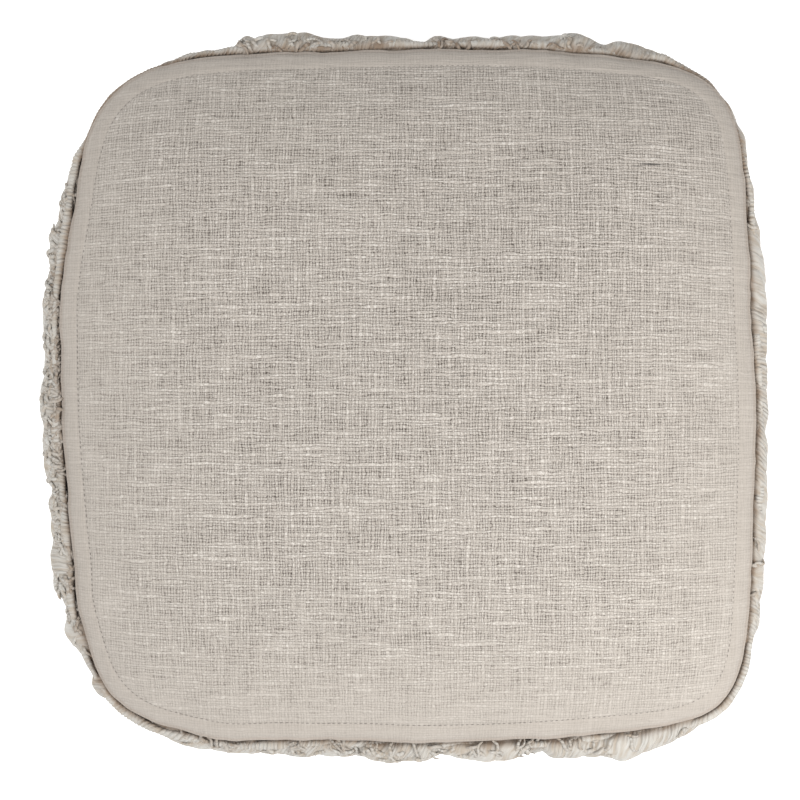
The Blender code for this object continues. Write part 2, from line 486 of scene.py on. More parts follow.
class Paint:
    """A material on one Principled shader, whose varying inputs are written as expressions."""

    def __init__(self, name: str, **constants: float | tuple[float, ...]) -> None:
        """Starts a material.

        Args:
            name: The material's name.
            constants: Values of the shader's own sockets, with _ for a space in their names.
        """
        self.material = bpy.data.materials.new(name)
        self.material.use_nodes = True
        self.tree = self.material.node_tree
        self.shader = self.tree.nodes["Principled BSDF"]
        for socket, value in constants.items():
            self.shader.inputs[socket.replace("_", " ")].default_value = value

    def node(self, kind: str, settings: dict, inputs: dict) -> bpy.types.Node:
        """Adds a node.

        Args:
            kind: The node's type.
            settings: Its properties, set before its sockets are filled.
            inputs: For sockets by name or number, a Wire to link or a constant to set.

        Returns:
            The node.
        """
        made = self.tree.nodes.new(kind)
        for name, value in settings.items():
            setattr(made, name, value)
        for key, term in inputs.items():
            self.feed(made.inputs[key], term)
        return made

    def wire(self, kind: str, settings: dict, inputs: dict, output: str | int = 0) -> Wire:
        """Adds a node and returns one of its outputs."""
        return Wire(self, self.node(kind, settings, inputs).outputs[output])

    def feed(self, socket: bpy.types.NodeSocket, term: Wire | float | tuple[float, ...]) -> None:
        """Links a Wire to a socket, or sets a constant on it."""
        if isinstance(term, Wire):
            self.tree.links.new(term.socket, socket)
        else:
            socket.default_value = term

    def uv(self) -> tuple[Wire, Wire]:
        """Metres along the two directions of the piece's own cloth."""
        across, along, _ = self.wire("ShaderNodeUVMap", {"uv_map": "cloth"}, {}).parts()
        return across, along

    def mark(self, name: str) -> Wire:
        """A float value stored on the piece's vertices."""
        return self.wire("ShaderNodeAttribute", {"attribute_name": name}, {}, "Fac")

    def vector(self, x: Wire | float, y: Wire | float) -> Wire:
        """A vector in the plane, from two numbers."""
        return self.wire("ShaderNodeCombineXYZ", {}, {0: x, 1: y})

    def clouds(self, x: Wire | float, y: Wire | float, detail: float, output: str) -> Wire:
        """An output of a noise texture over two coordinates, with one feature a unit."""
        inputs = {"Vector": self.vector(x, y), "Scale": 1.0, "Detail": detail, "Roughness": 0.5}
        return self.wire("ShaderNodeTexNoise", {"noise_dimensions": "2D"}, inputs, output)

    def noise(self, x: Wire | float, y: Wire | float, detail: float = 0.0) -> Wire:
        """Smooth noise over two coordinates, from 0 to 1."""
        return self.clouds(x, y, detail, "Fac")

    def chances(self, x: Wire, y: Wire) -> tuple[Wire, Wire]:
        """Two random values from 0 to 1, the same wherever x and y are the same."""
        inputs = {"Vector": self.vector(x, y)}
        kind, settings = "ShaderNodeTexWhiteNoise", {"noise_dimensions": "2D"}
        first, second, _ = self.wire(kind, settings, inputs, "Color").parts()
        return first, second

    def noises(self, x: Wire | float, y: Wire | float, detail: float = 0.0) -> tuple[Wire, ...]:
        """Three independent noises over two coordinates, each from 0 to 1."""
        return self.clouds(x, y, detail, "Color").parts()

    def mix(self, share: Wire, first: Wire | tuple, second: Wire | tuple) -> Wire:
        """A blend of two colours."""
        settings = {"data_type": "RGBA", "clamp_factor": True}
        terms = {0: share, 6: colour(first), 7: colour(second)}
        return self.wire("ShaderNodeMix", settings, terms, 2)

    def finish(self, base: Wire, height: Wire, depth: float) -> None:
        """Feeds the shader.

        Args:
            base: Base colour.
            height: Relief, in units of `depth`.
            depth: Metres that a height of 1 stands for.
        """
        self.feed(self.shader.inputs["Base Color"], base)
        inputs = {"Strength": 1.0, "Distance": depth, "Height": height}
        self.feed(self.shader.inputs["Normal"], self.wire("ShaderNodeBump", {}, inputs))


def colour(term: Wire | tuple[float, ...]) -> Wire | tuple[float, ...]:
    """A colour constant with its alpha, or a Wire as it is."""
    return term if isinstance(term, Wire) else (*term, 1.0)


# ---------------------------------------------------------------- finishes


@dataclass(frozen=True)
class Nep:
    """A dark fleck in the cloth: a bit of husk or a coarse slub spun into one thread."""

    x: float
    y: float
    half_length: float
    half_width: float
    darkness: float


@dataclass(frozen=True)
class Threads:
    """How the threads of one direction vary. A pair of levels says where in the noise a thing
    starts and where it is full."""

    thin: float  # half width where a thread is thinnest, in threads
    run: float  # length of a thick or a pale place, metres
    bunching: float  # how far the threads crowd together, in threads
    slub_levels: tuple[float, float]
    slub_size: float
    pale_levels: tuple[float, float]
    pale_slub: float  # how much paler a slub is than a thin place

    def paleness(self, tone: Wire, slub: Wire, shows: Wire) -> Wire:
        """How pale the threads are where they show: more on a slub than on a thin place."""
        return tone.step(*self.pale_levels) * (slub * self.pale_slub + 0.3) * shows


@dataclass(frozen=True)
class SlubCotton:
    """Undyed slub cotton in plain weave. Each thread has its own thick and thin places, and the
    crosswise threads carry the long pale slubs."""

    pitch: float = 1.85 * MM
    relief: float = 0.42 * MM
    # colour in the holes: the darker cloth beneath, deepened with painted shade
    shade: tuple[float, float, float] = (0.062, 0.048, 0.036)
    tone: tuple[float, float, float] = (0.416, 0.373, 0.329)
    slub: tuple[float, float, float] = (0.660, 0.620, 0.568)
    # colour of a painted shade along the fold's rolled edge and the hem under it
    fold: tuple[float, float, float] = (0.26, 0.19, 0.14)
    husk: tuple[float, float, float] = (0.035, 0.030, 0.028)
    drift: float = 4.5 * MM  # size of the threads' small drifts
    weft_band: tuple[float, float] = (22 * MM, 2.9 * MM)  # length and height of a crowded place
    warp_band: tuple[float, float] = (3.4 * MM, 30 * MM)
    fuzz: tuple[float, float] = (0.9 * MM, 0.8 * MM)
    lane: float = 5.37  # step between the noises of two threads
    weft: Threads = Threads(0.435, 34 * MM, 1.35, (0.36, 0.80), 1.0, (0.44, 0.76), 0.7)
    warp: Threads = Threads(0.415, 28 * MM, 1.5, (0.36, 0.86), 0.65, (0.46, 0.80), 0.5)
    neps: tuple[Nep, ...] = (
        Nep(0.146, 0.140, 0.0085, 0.0008, 0.9),
        Nep(0.137, 0.1385, 0.0050, 0.0006, 0.6),
        Nep(-0.136, 0.181, 0.0016, 0.0008, 0.7),
        Nep(0.031, 0.011, 0.0030, 0.0007, 0.6),
        Nep(0.008, 0.108, 0.0012, 0.0012, 0.35),
        Nep(-0.034, -0.060, 0.0014, 0.0008, 0.4),
    )

    def thread(self, across: Wire, over: Wire, slub: Wire, number: Wire, thin: float) -> Wire:
        """Height of one set of threads: a round section sqrt(1 - (across / half width)^2),
        lifted where the thread passes over and lowered where it dips under. A slub is thick and
        hardly dips.

        Args:
            across: Distance from the thread's own middle, in threads.
            over: Phase along the thread, in crossings.
            slub: How thick the thread is here, 0 to 1.
            number: The thread's number.
            thin: Half width of the thread where it is thinnest, in threads.

        Returns:
            The height, from 0 in a gap to about 1.5 on a crossing.
        """
        half = slub * 0.07 + thin
        inside = 1.0 - (across / half) ** 2.0
        section = inside.math("MAXIMUM", 0.0).math("SQRT")
        sign = (number * math.pi).math("COSINE")
        waves = sign * (over * math.pi).math("SINE") * (0.50 - slub * 0.30)
        return section * (waves + (slub * 0.55 + 0.75))

    def material(self) -> bpy.types.Material:
        """The finish, on the piece's cloth UVs in metres.

        Returns:
            The material.
        """
        paint = Paint("slub_cotton_weave", Roughness=0.92, Sheen_Weight=0.10, Sheen_Roughness=0.6)
        x, y = paint.uv()
        pressed = paint.mark("pressed")
        drift_x, drift_y, speck = paint.noises(x / self.drift, y / self.drift, 1.0)
        long, high = self.weft_band
        bunch_weft, band_weft, _ = paint.noises(x / long, y / high, 1.0)
        wide, tall = self.warp_band
        bunch_warp, band_warp, _ = paint.noises(x / wide + 9.0, y / tall, 1.0)
        warp = x / self.pitch + (drift_x - 0.5) * 0.5 + (bunch_warp - 0.5) * self.warp.bunching
        weft = y / self.pitch + (drift_y - 0.5) * 0.5 + (bunch_weft - 0.5) * self.weft.bunching
        warp_number, weft_number = warp.math("FLOOR"), weft.math("FLOOR")
        thick_weft, tone_weft, _ = paint.noises(x / self.weft.run, weft_number * self.lane, 1.0)
        thick_warp, tone_warp, _ = paint.noises(warp_number * self.lane, y / self.warp.run, 1.0)
        slub_weft = thick_weft.step(*self.weft.slub_levels) * self.weft.slub_size
        slub_warp = thick_warp.step(*self.warp.slub_levels) * self.warp.slub_size
        aside_weft, aside_warp = weft - weft_number - 0.5, warp - warp_number - 0.5
        weft_height = self.thread(aside_weft, warp, slub_weft, weft_number, self.weft.thin)
        warp_height = self.thread(aside_warp, weft, slub_warp, warp_number + 1.0, self.warp.thin)
        height = weft_height.math("MAXIMUM", warp_height)
        weft_shows = (weft_height - warp_height).step(-0.1, 0.1)
        pale = self.weft.paleness(tone_weft, slub_weft, weft_shows)
        pale = pale + self.warp.paleness(tone_warp, slub_warp, 1.0 - weft_shows)
        fuzz = paint.noise(x / self.fuzz[0], y / self.fuzz[1], 1.0)
        chance, depth = paint.chances(warp_number, weft_number)
        bands = (band_weft - 0.5) * 0.8 + (band_warp - 0.5) * 0.4
        # between the threads: dark holes, the darker cloth beneath deepened with painted shade,
        # more of them in some bands than in others
        open_holes = (bands + (speck - 0.5) * 0.3 + (depth - 0.5) * 1.1 + 0.75).clamp()
        hole = (1.0 - height.step(0.24, 1.08)) * open_holes
        cover = 1.0 - hole * (1.0 - pressed * 0.85)
        # on the threads: pale slubs, painted highlights where they cross, and fuzz; all less where
        # pressed
        crossing_highlight = height.step(1.02, 1.34) * (chance * 0.9 + 0.1)
        light = pale * 0.11 + (fuzz - 0.5) * (2.3 - pressed * 1.7) - bands * 0.12
        light = (light + crossing_highlight * 0.84) * (1.0 - pressed * 0.85) + 0.03
        light = light + pressed * 0.12 - pressed**8.0 * 0.19
        base = paint.mix(light * cover, paint.mix(cover, self.shade, self.tone), self.slub)
        # painted shade: warm darkening where the cloth rolls over the fold
        base = paint.mix(paint.mark("folded") * 0.24, base, self.fold)
        base = paint.mix(self.flecks(paint, x, y), base, self.husk)
        relief = height * (1.0 - pressed * 0.75) + (fuzz - 0.5) * 0.25 + band_weft * 0.9
        paint.finish(base, relief, self.relief)
        return paint.material

    def flecks(self, paint: Paint, x: Wire, y: Wire) -> Wire:
        """How dark each place is with neps: for each, 1 - (dx/a)^2 - (dy/b)^2 above 0."""
        total = None
        for nep in self.neps:
            far = ((x - nep.x) / nep.half_length) ** 2.0 + ((y - nep.y) / nep.half_width) ** 2.0
            mark = (1.0 - far).clamp() * nep.darkness
            total = mark if total is None else total.math("MAXIMUM", mark)
        return total


@dataclass(frozen=True)
class RovingYarn:
    """Undyed thick-and-thin roving: soft strands with fine fibres along their twist, greyer and
    smoother on the outside, with warm dark painted shade where the rows meet and in the grooves of
    the twist."""

    strand: float = 2.8 * MM
    relief: float = 0.55 * MM
    pale: tuple[float, float, float] = (0.527, 0.508, 0.470)
    light: tuple[float, float, float] = (0.655, 0.645, 0.610)
    warm: tuple[float, float, float] = (0.410, 0.350, 0.282)
    # colour of the painted shade in the clefts and beside the panel
    deep: tuple[float, float, float] = (0.250, 0.185, 0.135)
    middle: float = 30 * MM  # round the roving, to the line that shows most
    sway: tuple[float, float] = (60 * MM, 80 * MM)  # sizes along and round the roving
    cloud: tuple[float, float] = (12 * MM, 12 * MM)
    fibre: tuple[float, float] = (0.45 * MM, 7 * MM)  # sizes across and along the twist
    wisp: tuple[float, float] = (2.6 * MM, 16 * MM)
    wriggle: float = 4.0 * MM

    def material(self, name: str, slant: float, ribbing: float) -> bpy.types.Material:
        """The finish, on UVs in metres along and round the roving.

        Args:
            name: The material's name.
            slant: Metres that a strand runs along the roving for a metre round it.
            ribbing: How much of the roving shows its tight twist, 0 to 1.

        Returns:
            The material.
        """
        paint = Paint(name, Roughness=0.94, Sheen_Weight=0.12, Sheen_Roughness=0.5)
        along, around = paint.uv()
        hollow = paint.mark("hollow")
        outward = around - self.middle
        lean, loose, tone = paint.noises(along / self.sway[0], around / self.sway[1])
        aside, ahead, cloud = paint.noises(along / self.cloud[0], around / self.cloud[1], 1.0)
        twist = along - outward * (slant + (lean - 0.5) * 0.9) + (aside - 0.5) * self.wriggle
        run = outward + along * slant + (ahead - 0.5) * self.wriggle
        tight = loose.step(0.56 - 0.30 * ribbing, 0.70 - 0.30 * ribbing)
        strands = (twist * (math.pi / self.strand)).math("SINE").math("ABSOLUTE")
        fibres = paint.noise(twist / self.fibre[0], run / self.fibre[1], 1.0)
        wisps, plies, _ = paint.noises(twist / self.wisp[0], run / self.wisp[1], 1.0)
        height = strands * tight * 1.1 + fibres * 0.55 + wisps * 1.3 + plies * 1.0 + cloud * 0.8
        groove = (1.0 - strands.step(0.0, 0.55)) * tight
        bright = (wisps * 0.6 + cloud * 0.4).step(0.30, 0.62)
        base = paint.mix(bright * 0.85 + (tone - 0.35) * 0.4, self.warm, self.pale)
        base = paint.mix((fibres - 0.42) * 0.8 + (plies - 0.5) * 0.6, base, self.light)
        # painted shade: warm in the grooves of the twist, then the deep colour by the hollow mark
        # in the clefts and beside the panel
        base = paint.mix(groove * 0.32, base, self.warm)
        base = paint.mix(hollow * (1.2 - bright * 0.4), base, self.deep)
        paint.finish(base, height, self.relief)
        return paint.material


@dataclass(frozen=True)
class GroundCloth:
    """The plain tan cloth under the rows, which shows only down in the clefts; its tan is darkened
    towards brown, in part as painted shade of the clefts.
    """

    pitch: float = 1.2 * MM

    def material(self) -> bpy.types.Material:
        """The finish, on object coordinates: two crossing sine waves for the threads.

        Returns:
            The material.
        """
        paint = Paint("ground_cloth", Roughness=0.95)
        place = paint.wire("ShaderNodeTexCoord", {}, {}, "Object")
        x, y, z = place.parts()
        across = ((x + y) * (TURN / self.pitch)).math("SINE")
        along = (z * (TURN / self.pitch)).math("SINE")
        weave = across * along * 0.5 + 0.5
        cloud = paint.noise((x + y) / (14 * MM), z / (14 * MM), 2.0)
        # tan darkened towards brown: the cloth's own colour together with painted shade of the
        # clefts
        base = paint.mix(weave * 0.5 + cloud * 0.5, (0.16, 0.115, 0.08), (0.30, 0.225, 0.165))
        paint.finish(base, weave, 0.3 * MM)
        return paint.material


@dataclass(frozen=True)
class SewingThread:
    """Taupe sewing cotton, with its fine ply along the stitch."""

    def material(self) -> bpy.types.Material:
        """The finish, on UVs in metres along and round the thread.

        Returns:
            The material.
        """
        paint = Paint("sewing_thread", Roughness=0.8, Sheen_Weight=0.2)
        along, around = paint.uv()
        ply = ((along + around) * (TURN / (0.5 * MM))).math("SINE") * 0.5 + 0.5
        wear = paint.noise(along / (9 * MM), around / (9 * MM), 1.0)
        base = paint.mix(ply * 0.5 + wear * 0.5, (0.150, 0.132, 0.116), (0.31, 0.28, 0.25))
        paint.finish(base, ply, 0.08 * MM)
        return paint.material


@dataclass(frozen=True)
class PaleFloor:
    """Plain pale floor: matt white, a trace uneven, glowing a little so that the picture's
    ground stays white round the pouf."""

    glow: float = 0.5

    def material(self) -> bpy.types.Material:
        """The finish, on object coordinates.

        Returns:
            The material.
        """
        paint = Paint("pale_floor", Roughness=0.9, Emission_Strength=self.glow)
        paint.shader.inputs["Emission Color"].default_value = (1.0, 1.0, 1.0, 1.0)
        x, y, _ = paint.wire("ShaderNodeTexCoord", {}, {}, "Object").parts()
        cloud = paint.noise(x * 2.0, y * 2.0, 2.0)
        base = paint.mix(cloud, (0.93, 0.93, 0.93), (0.97, 0.97, 0.97))
        paint.finish(base, cloud, 0.1 * MM)
        return paint.material


# ---------------------------------------------------------------- panels


class Hold(Enum):
    """How a sheet of cloth is held."""

    STRETCHED = "stretched"
    LAID = "laid"


@dataclass
class Panel:
    """One square panel of slub cotton: a grid over the pouf's outline, its edge folded under."""

    form: Form
    place: Array
    name: str = "panel"
    node: str = "panel"
    hold: Hold = Hold.LAID
    rests_on: tuple[str, ...] = ()
    core_cells: int = 22  # from the middle to the rim strip
    rim_cells: int = 6  # across the rim strip
    rim: float = 13 * MM
    hem: float = 10 * MM
    thickness: float = 1.25 * MM
    fold_radius: float = 1.35 * MM
    fold_steps: int = 7
    under_steps: int = 4
    upward: bool = True  # whether the face that shows is the upper one
    waves: tuple[Push, ...] = ()
    crowding: float = 1.15  # how much closer the rim strip's lines lie at the fold
    strip_flatness: float = 0.92
    flattened: Sides = Sides(right=0.55, back=0.30, left=0.65, front=0.82)
    flattened_reach: float = 42 * MM

    @property
    def outline(self) -> Outline:
        """The line where the fold starts: the edge, drawn in by the fold's radius and waved."""
        edge = self.form.outline
        return replace(
            edge,
            half_width=edge.half_width - self.fold_radius,
            half_depth=edge.half_depth - self.fold_radius,
            pulls=edge.pulls + self.waves,
        )

    def square(self) -> tuple[Array, Array]:
        """Share and angle of every grid point: the grid's two coordinates s and t run from -1
        to 1, share is the larger of |s| and |t|, and angle is that of (s, t)."""
        rim_share = self.rim / self.outline.half_width
        core = np.linspace(0, 1 - rim_share, self.core_cells + 1)
        strip = 1 - rim_share * (1 - np.linspace(0, 1, self.rim_cells + 1)[1:]) ** self.crowding
        half = np.concatenate((core, strip))
        line = np.concatenate((-half[:0:-1], half))
        s, t = np.meshgrid(line, line, indexing="ij")
        return np.maximum(np.abs(s), np.abs(t)), np.arctan2(t, s)

    def inset(self, share: Array, angle: Array) -> Array:
        """Distance inside the folded edge: what is left of the radius, times the cosine between
        the radius and the edge's normal."""
        radial = np.stack((np.cos(angle), np.sin(angle)), axis=-1)
        facing = (self.outline.normal(angle) * radial).sum(axis=-1)
        return (1 - share) * self.outline.radius(angle) * facing

    def pressed(self, inset: Array, angle: Array) -> Array:
        """How flat the weave is pressed: most in the turned strip, less and less inside it."""
        strip = self.strip_flatness * (1 - np.clip((inset - self.hem) / (1.5 * MM), 0, 1))
        inside = np.exp(-np.clip(inset - self.hem, 0, None) / self.flattened_reach)
        return np.maximum(strip, self.flattened.blend(angle) * inside)

    def wobble(self, share: Array, angle: Array) -> Array:
        """How far the cloth is pushed out at its edge; none on a plain panel."""
        return 0 * share

    def height(self, share: Array, angle: Array) -> Array:
        """Height of the face that shows."""
        return self.form.base(share)

    def arc(self, share: Array, angle: Array) -> Array:
        """Length of cloth from the middle to a point, along its radius: the sum of
        sqrt(dr^2 + dz^2) over thirty steps of the pouf's own form."""
        steps = np.linspace(0, 1, 31)[:, None, None]
        z = self.smooth(share * steps, angle[None])
        run = np.diff(steps, axis=0) * share * self.outline.radius(angle)
        return np.hypot(run, np.diff(z, axis=0)).sum(axis=0)

    def smooth(self, share: Array, angle: Array) -> Array:
        """Height of the form under the panel, without the cloth's own relief."""
        return self.form.base(share) + 0 * angle

    def build(self) -> bpy.types.Object:
        """The cloth: the square grid of the face, then the fold as a half circle carried along
        the edge, then the hem turned back under.

        Returns:
            The panel's object.
        """
        share, angle = self.square()
        size = len(share)
        flat = self.outline.point(angle) * share[..., None]
        flat = flat + self.outline.normal(angle) * self.wobble(share, angle)[..., None]
        points = np.dstack((flat, self.height(share, angle))).reshape(-1, 3)
        direction = np.stack((np.cos(angle), np.sin(angle)), axis=-1)
        cloth = (self.arc(share, angle)[..., None] * direction).reshape(-1, 2)
        pressed = self.pressed(self.inset(share, angle), angle).ravel()
        side = np.arange(size)
        rim = np.concatenate((
            side * size,
            (size - 1) * size + side[1:],
            side[-2::-1] * size + size - 1,
            side[-2:0:-1],
        ))
        rings, ring_cloth = self.turned(points[rim], angle.ravel()[rim], cloth[rim])
        band = self.band_faces(rim, len(points), len(rings))
        faces = np.concatenate((grid_faces(size, size, False, False), band))
        faces = faces if self.upward else faces[:, ::-1]
        points = np.concatenate((points, rings.reshape(-1, 3)))
        cloth = np.concatenate((cloth, ring_cloth.reshape(-1, 2)))
        under = np.ones(rings.shape[0] * rings.shape[1])
        # mark for the painted shade at the fold's rolled edge, full on the turned hem
        folded = bell(self.inset(share, angle), 0.55 * self.fold_radius).ravel()
        marks = {
            "pressed": np.append(pressed, under * pressed.max()),
            "folded": np.append(folded, under),
        }
        made = add_mesh(self.name, points + self.place, [faces], [cloth[faces]], marks)
        solidify = made.modifiers.new("thickness", "SOLIDIFY")
        solidify.thickness = self.thickness
        solidify.offset = -1.0
        return made

    def turned(self, edge: Array, angle: Array, cloth: Array) -> tuple[Array, Array]:
        """The rings past the edge: half a circle round the fold, then straight back.

        Args:
            edge: Points of the grid's rim.
            angle: Their directions.
            cloth: Their cloth UVs.

        Returns:
            Points and cloth UVs, ring by ring.
        """
        bend = np.linspace(0, math.pi, self.fold_steps + 1)[1:]
        under = np.linspace(0, self.hem, self.under_steps + 1)[1:]
        radius = self.fold_radius
        out = np.concatenate((radius * np.sin(bend), -under))
        away = np.concatenate((radius * (1 - np.cos(bend)), np.full(self.under_steps, 2 * radius)))
        length = np.concatenate((radius * bend, radius * math.pi + under))
        normal = self.outline.normal(angle)
        flat = edge[None, :, :2] + normal[None] * out[:, None, None]
        height = edge[None, :, 2] - (away if self.upward else -away)[:, None]
        return np.dstack((flat, height)), cloth[None] + normal[None] * length[:, None, None]

    def band_faces(self, rim: Array, first: int, rings: int) -> Array:
        """Quads from the grid's rim through each ring past it.

        Args:
            rim: Vertex numbers of the grid's rim, in order.
            first: Number of the first ring's first vertex.
            rings: How many rings there are.

        Returns:
            Four vertex numbers a face.
        """
        lines = first + np.arange(rings * len(rim)).reshape(rings, len(rim))
        lines = np.concatenate((rim[None], lines))
        after = np.roll(lines, -1, axis=1)
        return np.stack((lines[:-1], lines[1:], after[1:], after[:-1]), axis=-1).reshape(-1, 4)

    def dress(self, made: bpy.types.Object, finish: bpy.types.Material) -> None:
        made.data.materials.append(finish)
        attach(made, "root")
        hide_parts(self.node)
        side = 2 * (self.outline.half_width + self.hem + self.fold_radius * math.pi / 2)


@dataclass(frozen=True)
class Ripple:
    """Soft noise as a relief of the cloth."""

    height: float
    width: float  # size of a feature along the first coordinate
    length: float  # and along the second
    seed: int

    def at(self, x: Array, y: Array) -> Array:
        """Its height at each place."""
        return self.height * soft_noise(x / self.width, y / self.length, self.seed)


@dataclass
class TopPanel(Panel):
    """The crowned top panel, with its topstitched strip and the cloth's own ripples."""

    name: str = "top_panel_cloth"
    node: str = "top_panel"
    hold: Hold = Hold.STRETCHED
    rests_on: tuple[str, ...] = ("stuffed_body",)
    core_cells: int = 72
    rim_cells: int = 15
    tightness: Sides = Sides(right=0.5, back=0.2, left=0.9, front=1.0)
    puff: float = 0.8 * MM  # of the strip outside the stitches
    roll: float = 0.7 * MM  # how far the fold rolls down
    trough: float = 0.9 * MM  # depth of the line of stitches where it is pulled tight
    pucker: Ripple = Ripple(0.35 * MM, 7 * MM, 12 * MM, 6)
    wave: Ripple = Ripple(0.25 * MM, 16 * MM, 30 * MM, 7)
    ripples: tuple[Ripple, ...] = (
        Ripple(0.30 * MM, 24 * MM, 17 * MM, 8),
        Ripple(0.14 * MM, 11 * MM, 6 * MM, 9),
    )
    dents: tuple[Hollow, ...] = (
        Hollow(-0.131, 0.000, 0.026, -0.0010, 2.6),
        Hollow(-0.070, 0.028, 0.028, 0.0011, 1.8),
        Hollow(0.060, -0.060, 0.045, -0.0008),
        Hollow(-0.030, -0.150, 0.040, -0.0010),
        Hollow(0.110, 0.090, 0.045, -0.0007),
    )

    def wobble(self, share: Array, angle: Array) -> Array:
        """Small waves of the fold, which fade out 5 mm inside it."""
        along = angle * self.outline.half_width
        waves = 0.55 * MM * soft_noise(along / (13 * MM) + 60, 0 * along, 11, 512)
        waves += 0.30 * MM * soft_noise(along / (5 * MM) + 160, 0 * along + 3, 12, 512)
        return waves * np.exp(-self.inset(share, angle) / (5 * MM))

    def smooth(self, share: Array, angle: Array) -> Array:
        """The crown."""
        return self.form.top(share, angle)

    def relief(self, share: Array, angle: Array) -> Array:
        """What the sewing and the cloth add to the crown: the puffed strip outside the
        topstitching, the trough along it, and puckers and slow ripples inside it.

        Args:
            share: Share of the way to the edge.
            angle: Direction from the middle.

        Returns:
            Height to add, in metres.
        """
        inset = self.inset(share, angle)
        x, y = np.moveaxis(self.outline.point(angle) * share[..., None], -1, 0)
        along = angle * self.outline.half_width
        puffed = self.puff * np.sin(math.pi * np.clip(inset / self.hem, 0, 1)) ** 0.7
        rolled = -self.roll * bell(inset, 1.1 * MM)
        pulled = 0.75 + 0.25 * soft_noise(along / (3.4 * MM), 0 * along, 5)
        pulled = pulled * self.tightness.blend(angle)
        sewn = -self.trough * bell(inset - self.hem, 1.3 * MM) * pulled
        past = np.clip(inset - self.hem, 0, None)
        puckered = self.pucker.at(along, past) * np.exp(-past / (9 * MM)) * (inset > self.hem)
        waved = self.wave.at(along, inset) * np.exp(-past / (20 * MM))
        rippled = sum(ripple.at(x, y) for ripple in self.ripples)
        rippled = rippled * np.clip(inset / self.rim, 0, 1)
        return puffed + rolled + sewn + puckered + waved + rippled

    def height(self, share: Array, angle: Array) -> Array:
        """Height of the cloth: the crown, its dents and the relief of the sewing."""
        x, y = np.moveaxis(self.outline.point(angle) * share[..., None], -1, 0)
        dents = sum(dent.at(x, y) for dent in self.dents)
        return self.form.top(share, angle) - dents + self.relief(share, angle)


@dataclass
class BasePanel(Panel):
    """The plain panel that the pouf stands on, flat on the floor and curling up at its edge."""

    name: str = "base_panel_cloth"
    node: str = "base_panel"
    upward: bool = False


@dataclass
class Topstitching:
    """The line of stitches that holds the turned edge of the top panel."""

    panel: TopPanel
    pitch: float = 3.4 * MM
    length: float = 3.0 * MM
    thickness: float = 0.5 * MM
    proud: Sides = Sides(right=-0.20 * MM, back=-0.28 * MM, left=0.00, front=0.05 * MM)
    jitter: float = 0.08  # of a stitch's place, in stitches
    slant: float = 0.35 * MM
    stations: int = 4000
    sides: int = 5
    segments: int = 5
    seed: int = 21

    def build(self) -> bpy.types.Object:
        """Every stitch as a short tube whose ends dip into the cloth: its middle line rises as
        the sine of its length, and it slants a little across the line of sewing.

        Returns:
            The stitches as one object.
        """
        outline = self.panel.outline
        ring = outline.stations(self.stations)
        count = int(round(ring.length / self.pitch))
        rng = np.random.default_rng(self.seed)
        start = (np.arange(count) + rng.uniform(-self.jitter, self.jitter, count)) / count
        part = np.linspace(-0.5, 0.5, self.segments + 1)
        share_round = start[:, None] + part * self.length / ring.length
        closed = np.append(ring.share, 1.0), np.append(ring.angle, math.pi)
        turn = np.interp(share_round % 1.0, *closed)
        slant = self.slant * part * rng.uniform(0.4, 1.0, (count, 1))
        facing = self.panel.inset(np.zeros_like(turn), turn) / outline.radius(turn)
        share = 1 - (self.panel.hem + slant) / (outline.radius(turn) * facing)
        flat = outline.point(turn) * share[..., None]
        lift = self.proud.blend(turn) + self.thickness / 2
        rise = (lift + self.thickness) * np.cos(math.pi * part) - self.thickness
        centre = np.dstack((flat, self.panel.height(share, turn) + rise))
        thick = self.thickness / 2 * (0.35 + 0.65 * np.cos(math.pi * part) ** 0.5)
        radius = np.broadcast_to(thick, turn.shape)
        return tubes("topstitching", centre + self.panel.place, radius, self.sides)

    def dress(self, made: bpy.types.Object, finish: bpy.types.Material) -> None:
        """Gives the stitches their finish."""
        made.data.materials.append(finish)
        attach(made, "root")


def tubes(
    name: str, centre: Array, radius: Array, sides: int, marks: dict[str, Array] | None = None
) -> bpy.types.Object:
    """Many short tubes in one mesh: a circle carried along each middle line, square to it, with
    a flat face closing each end.

    Args:
        name: The object's name.
        centre: Points of the middle lines, as tube by step by x, y and z.
        radius: Radius at each point, as tube by step.
        sides: Sides of a tube.
        marks: Named float values, one for each tube and step.

    Returns:
        The tubes as one object.
    """
    tube_count, steps = radius.shape
    along = np.gradient(centre, axis=1)
    along /= np.linalg.norm(along, axis=-1, keepdims=True)
    side = np.cross(along, (0.0, 0.0, 1.0)) + 1e-9
    side /= np.linalg.norm(side, axis=-1, keepdims=True)
    up = np.cross(side, along)
    turn = np.arange(sides) / sides * TURN
    circle = side[:, :, None] * np.cos(turn)[:, None] + up[:, :, None] * np.sin(turn)[:, None]
    points = centre[:, :, None] + circle * radius[:, :, None, None]
    first = (np.arange(tube_count) * steps * sides)[:, None, None]
    quads = (first + grid_faces(steps, sides, False, True)[None]).reshape(-1, 4)
    ring = np.arange(sides)[None]
    near = (first[:, 0] + ring)[:, ::-1]
    far = first[:, 0] + (steps - 1) * sides + ring
    run = np.linalg.norm(np.diff(centre, axis=1), axis=-1)
    run = np.concatenate((np.zeros((tube_count, 1)), np.cumsum(run, axis=1)), axis=1)
    run = run + np.arange(tube_count)[:, None] * 0.0137
    middle = radius[:, steps // 2].mean()
    u = np.stack((run[:, :-1], run[:, 1:], run[:, 1:], run[:, :-1]), axis=-1)
    u = np.broadcast_to(u[:, :, None], (tube_count, steps - 1, sides, 4))
    v = (np.arange(sides)[:, None] + (0, 0, 1, 1)) / sides * TURN * middle
    v = np.broadcast_to(v, u.shape)
    quad_uv = np.stack((u, v), axis=-1).reshape(-1, 4, 2)
    end_uv = np.zeros((tube_count, sides, 2)) + 0.001
    spread = {key: np.repeat(value.ravel(), sides) for key, value in (marks or {}).items()}
    faces, uvs = [quads, near, far], [quad_uv, end_uv, end_uv]
    return add_mesh(name, points.reshape(-1, 3), faces, uvs, spread)


# ---------------------------------------------------------------- roving


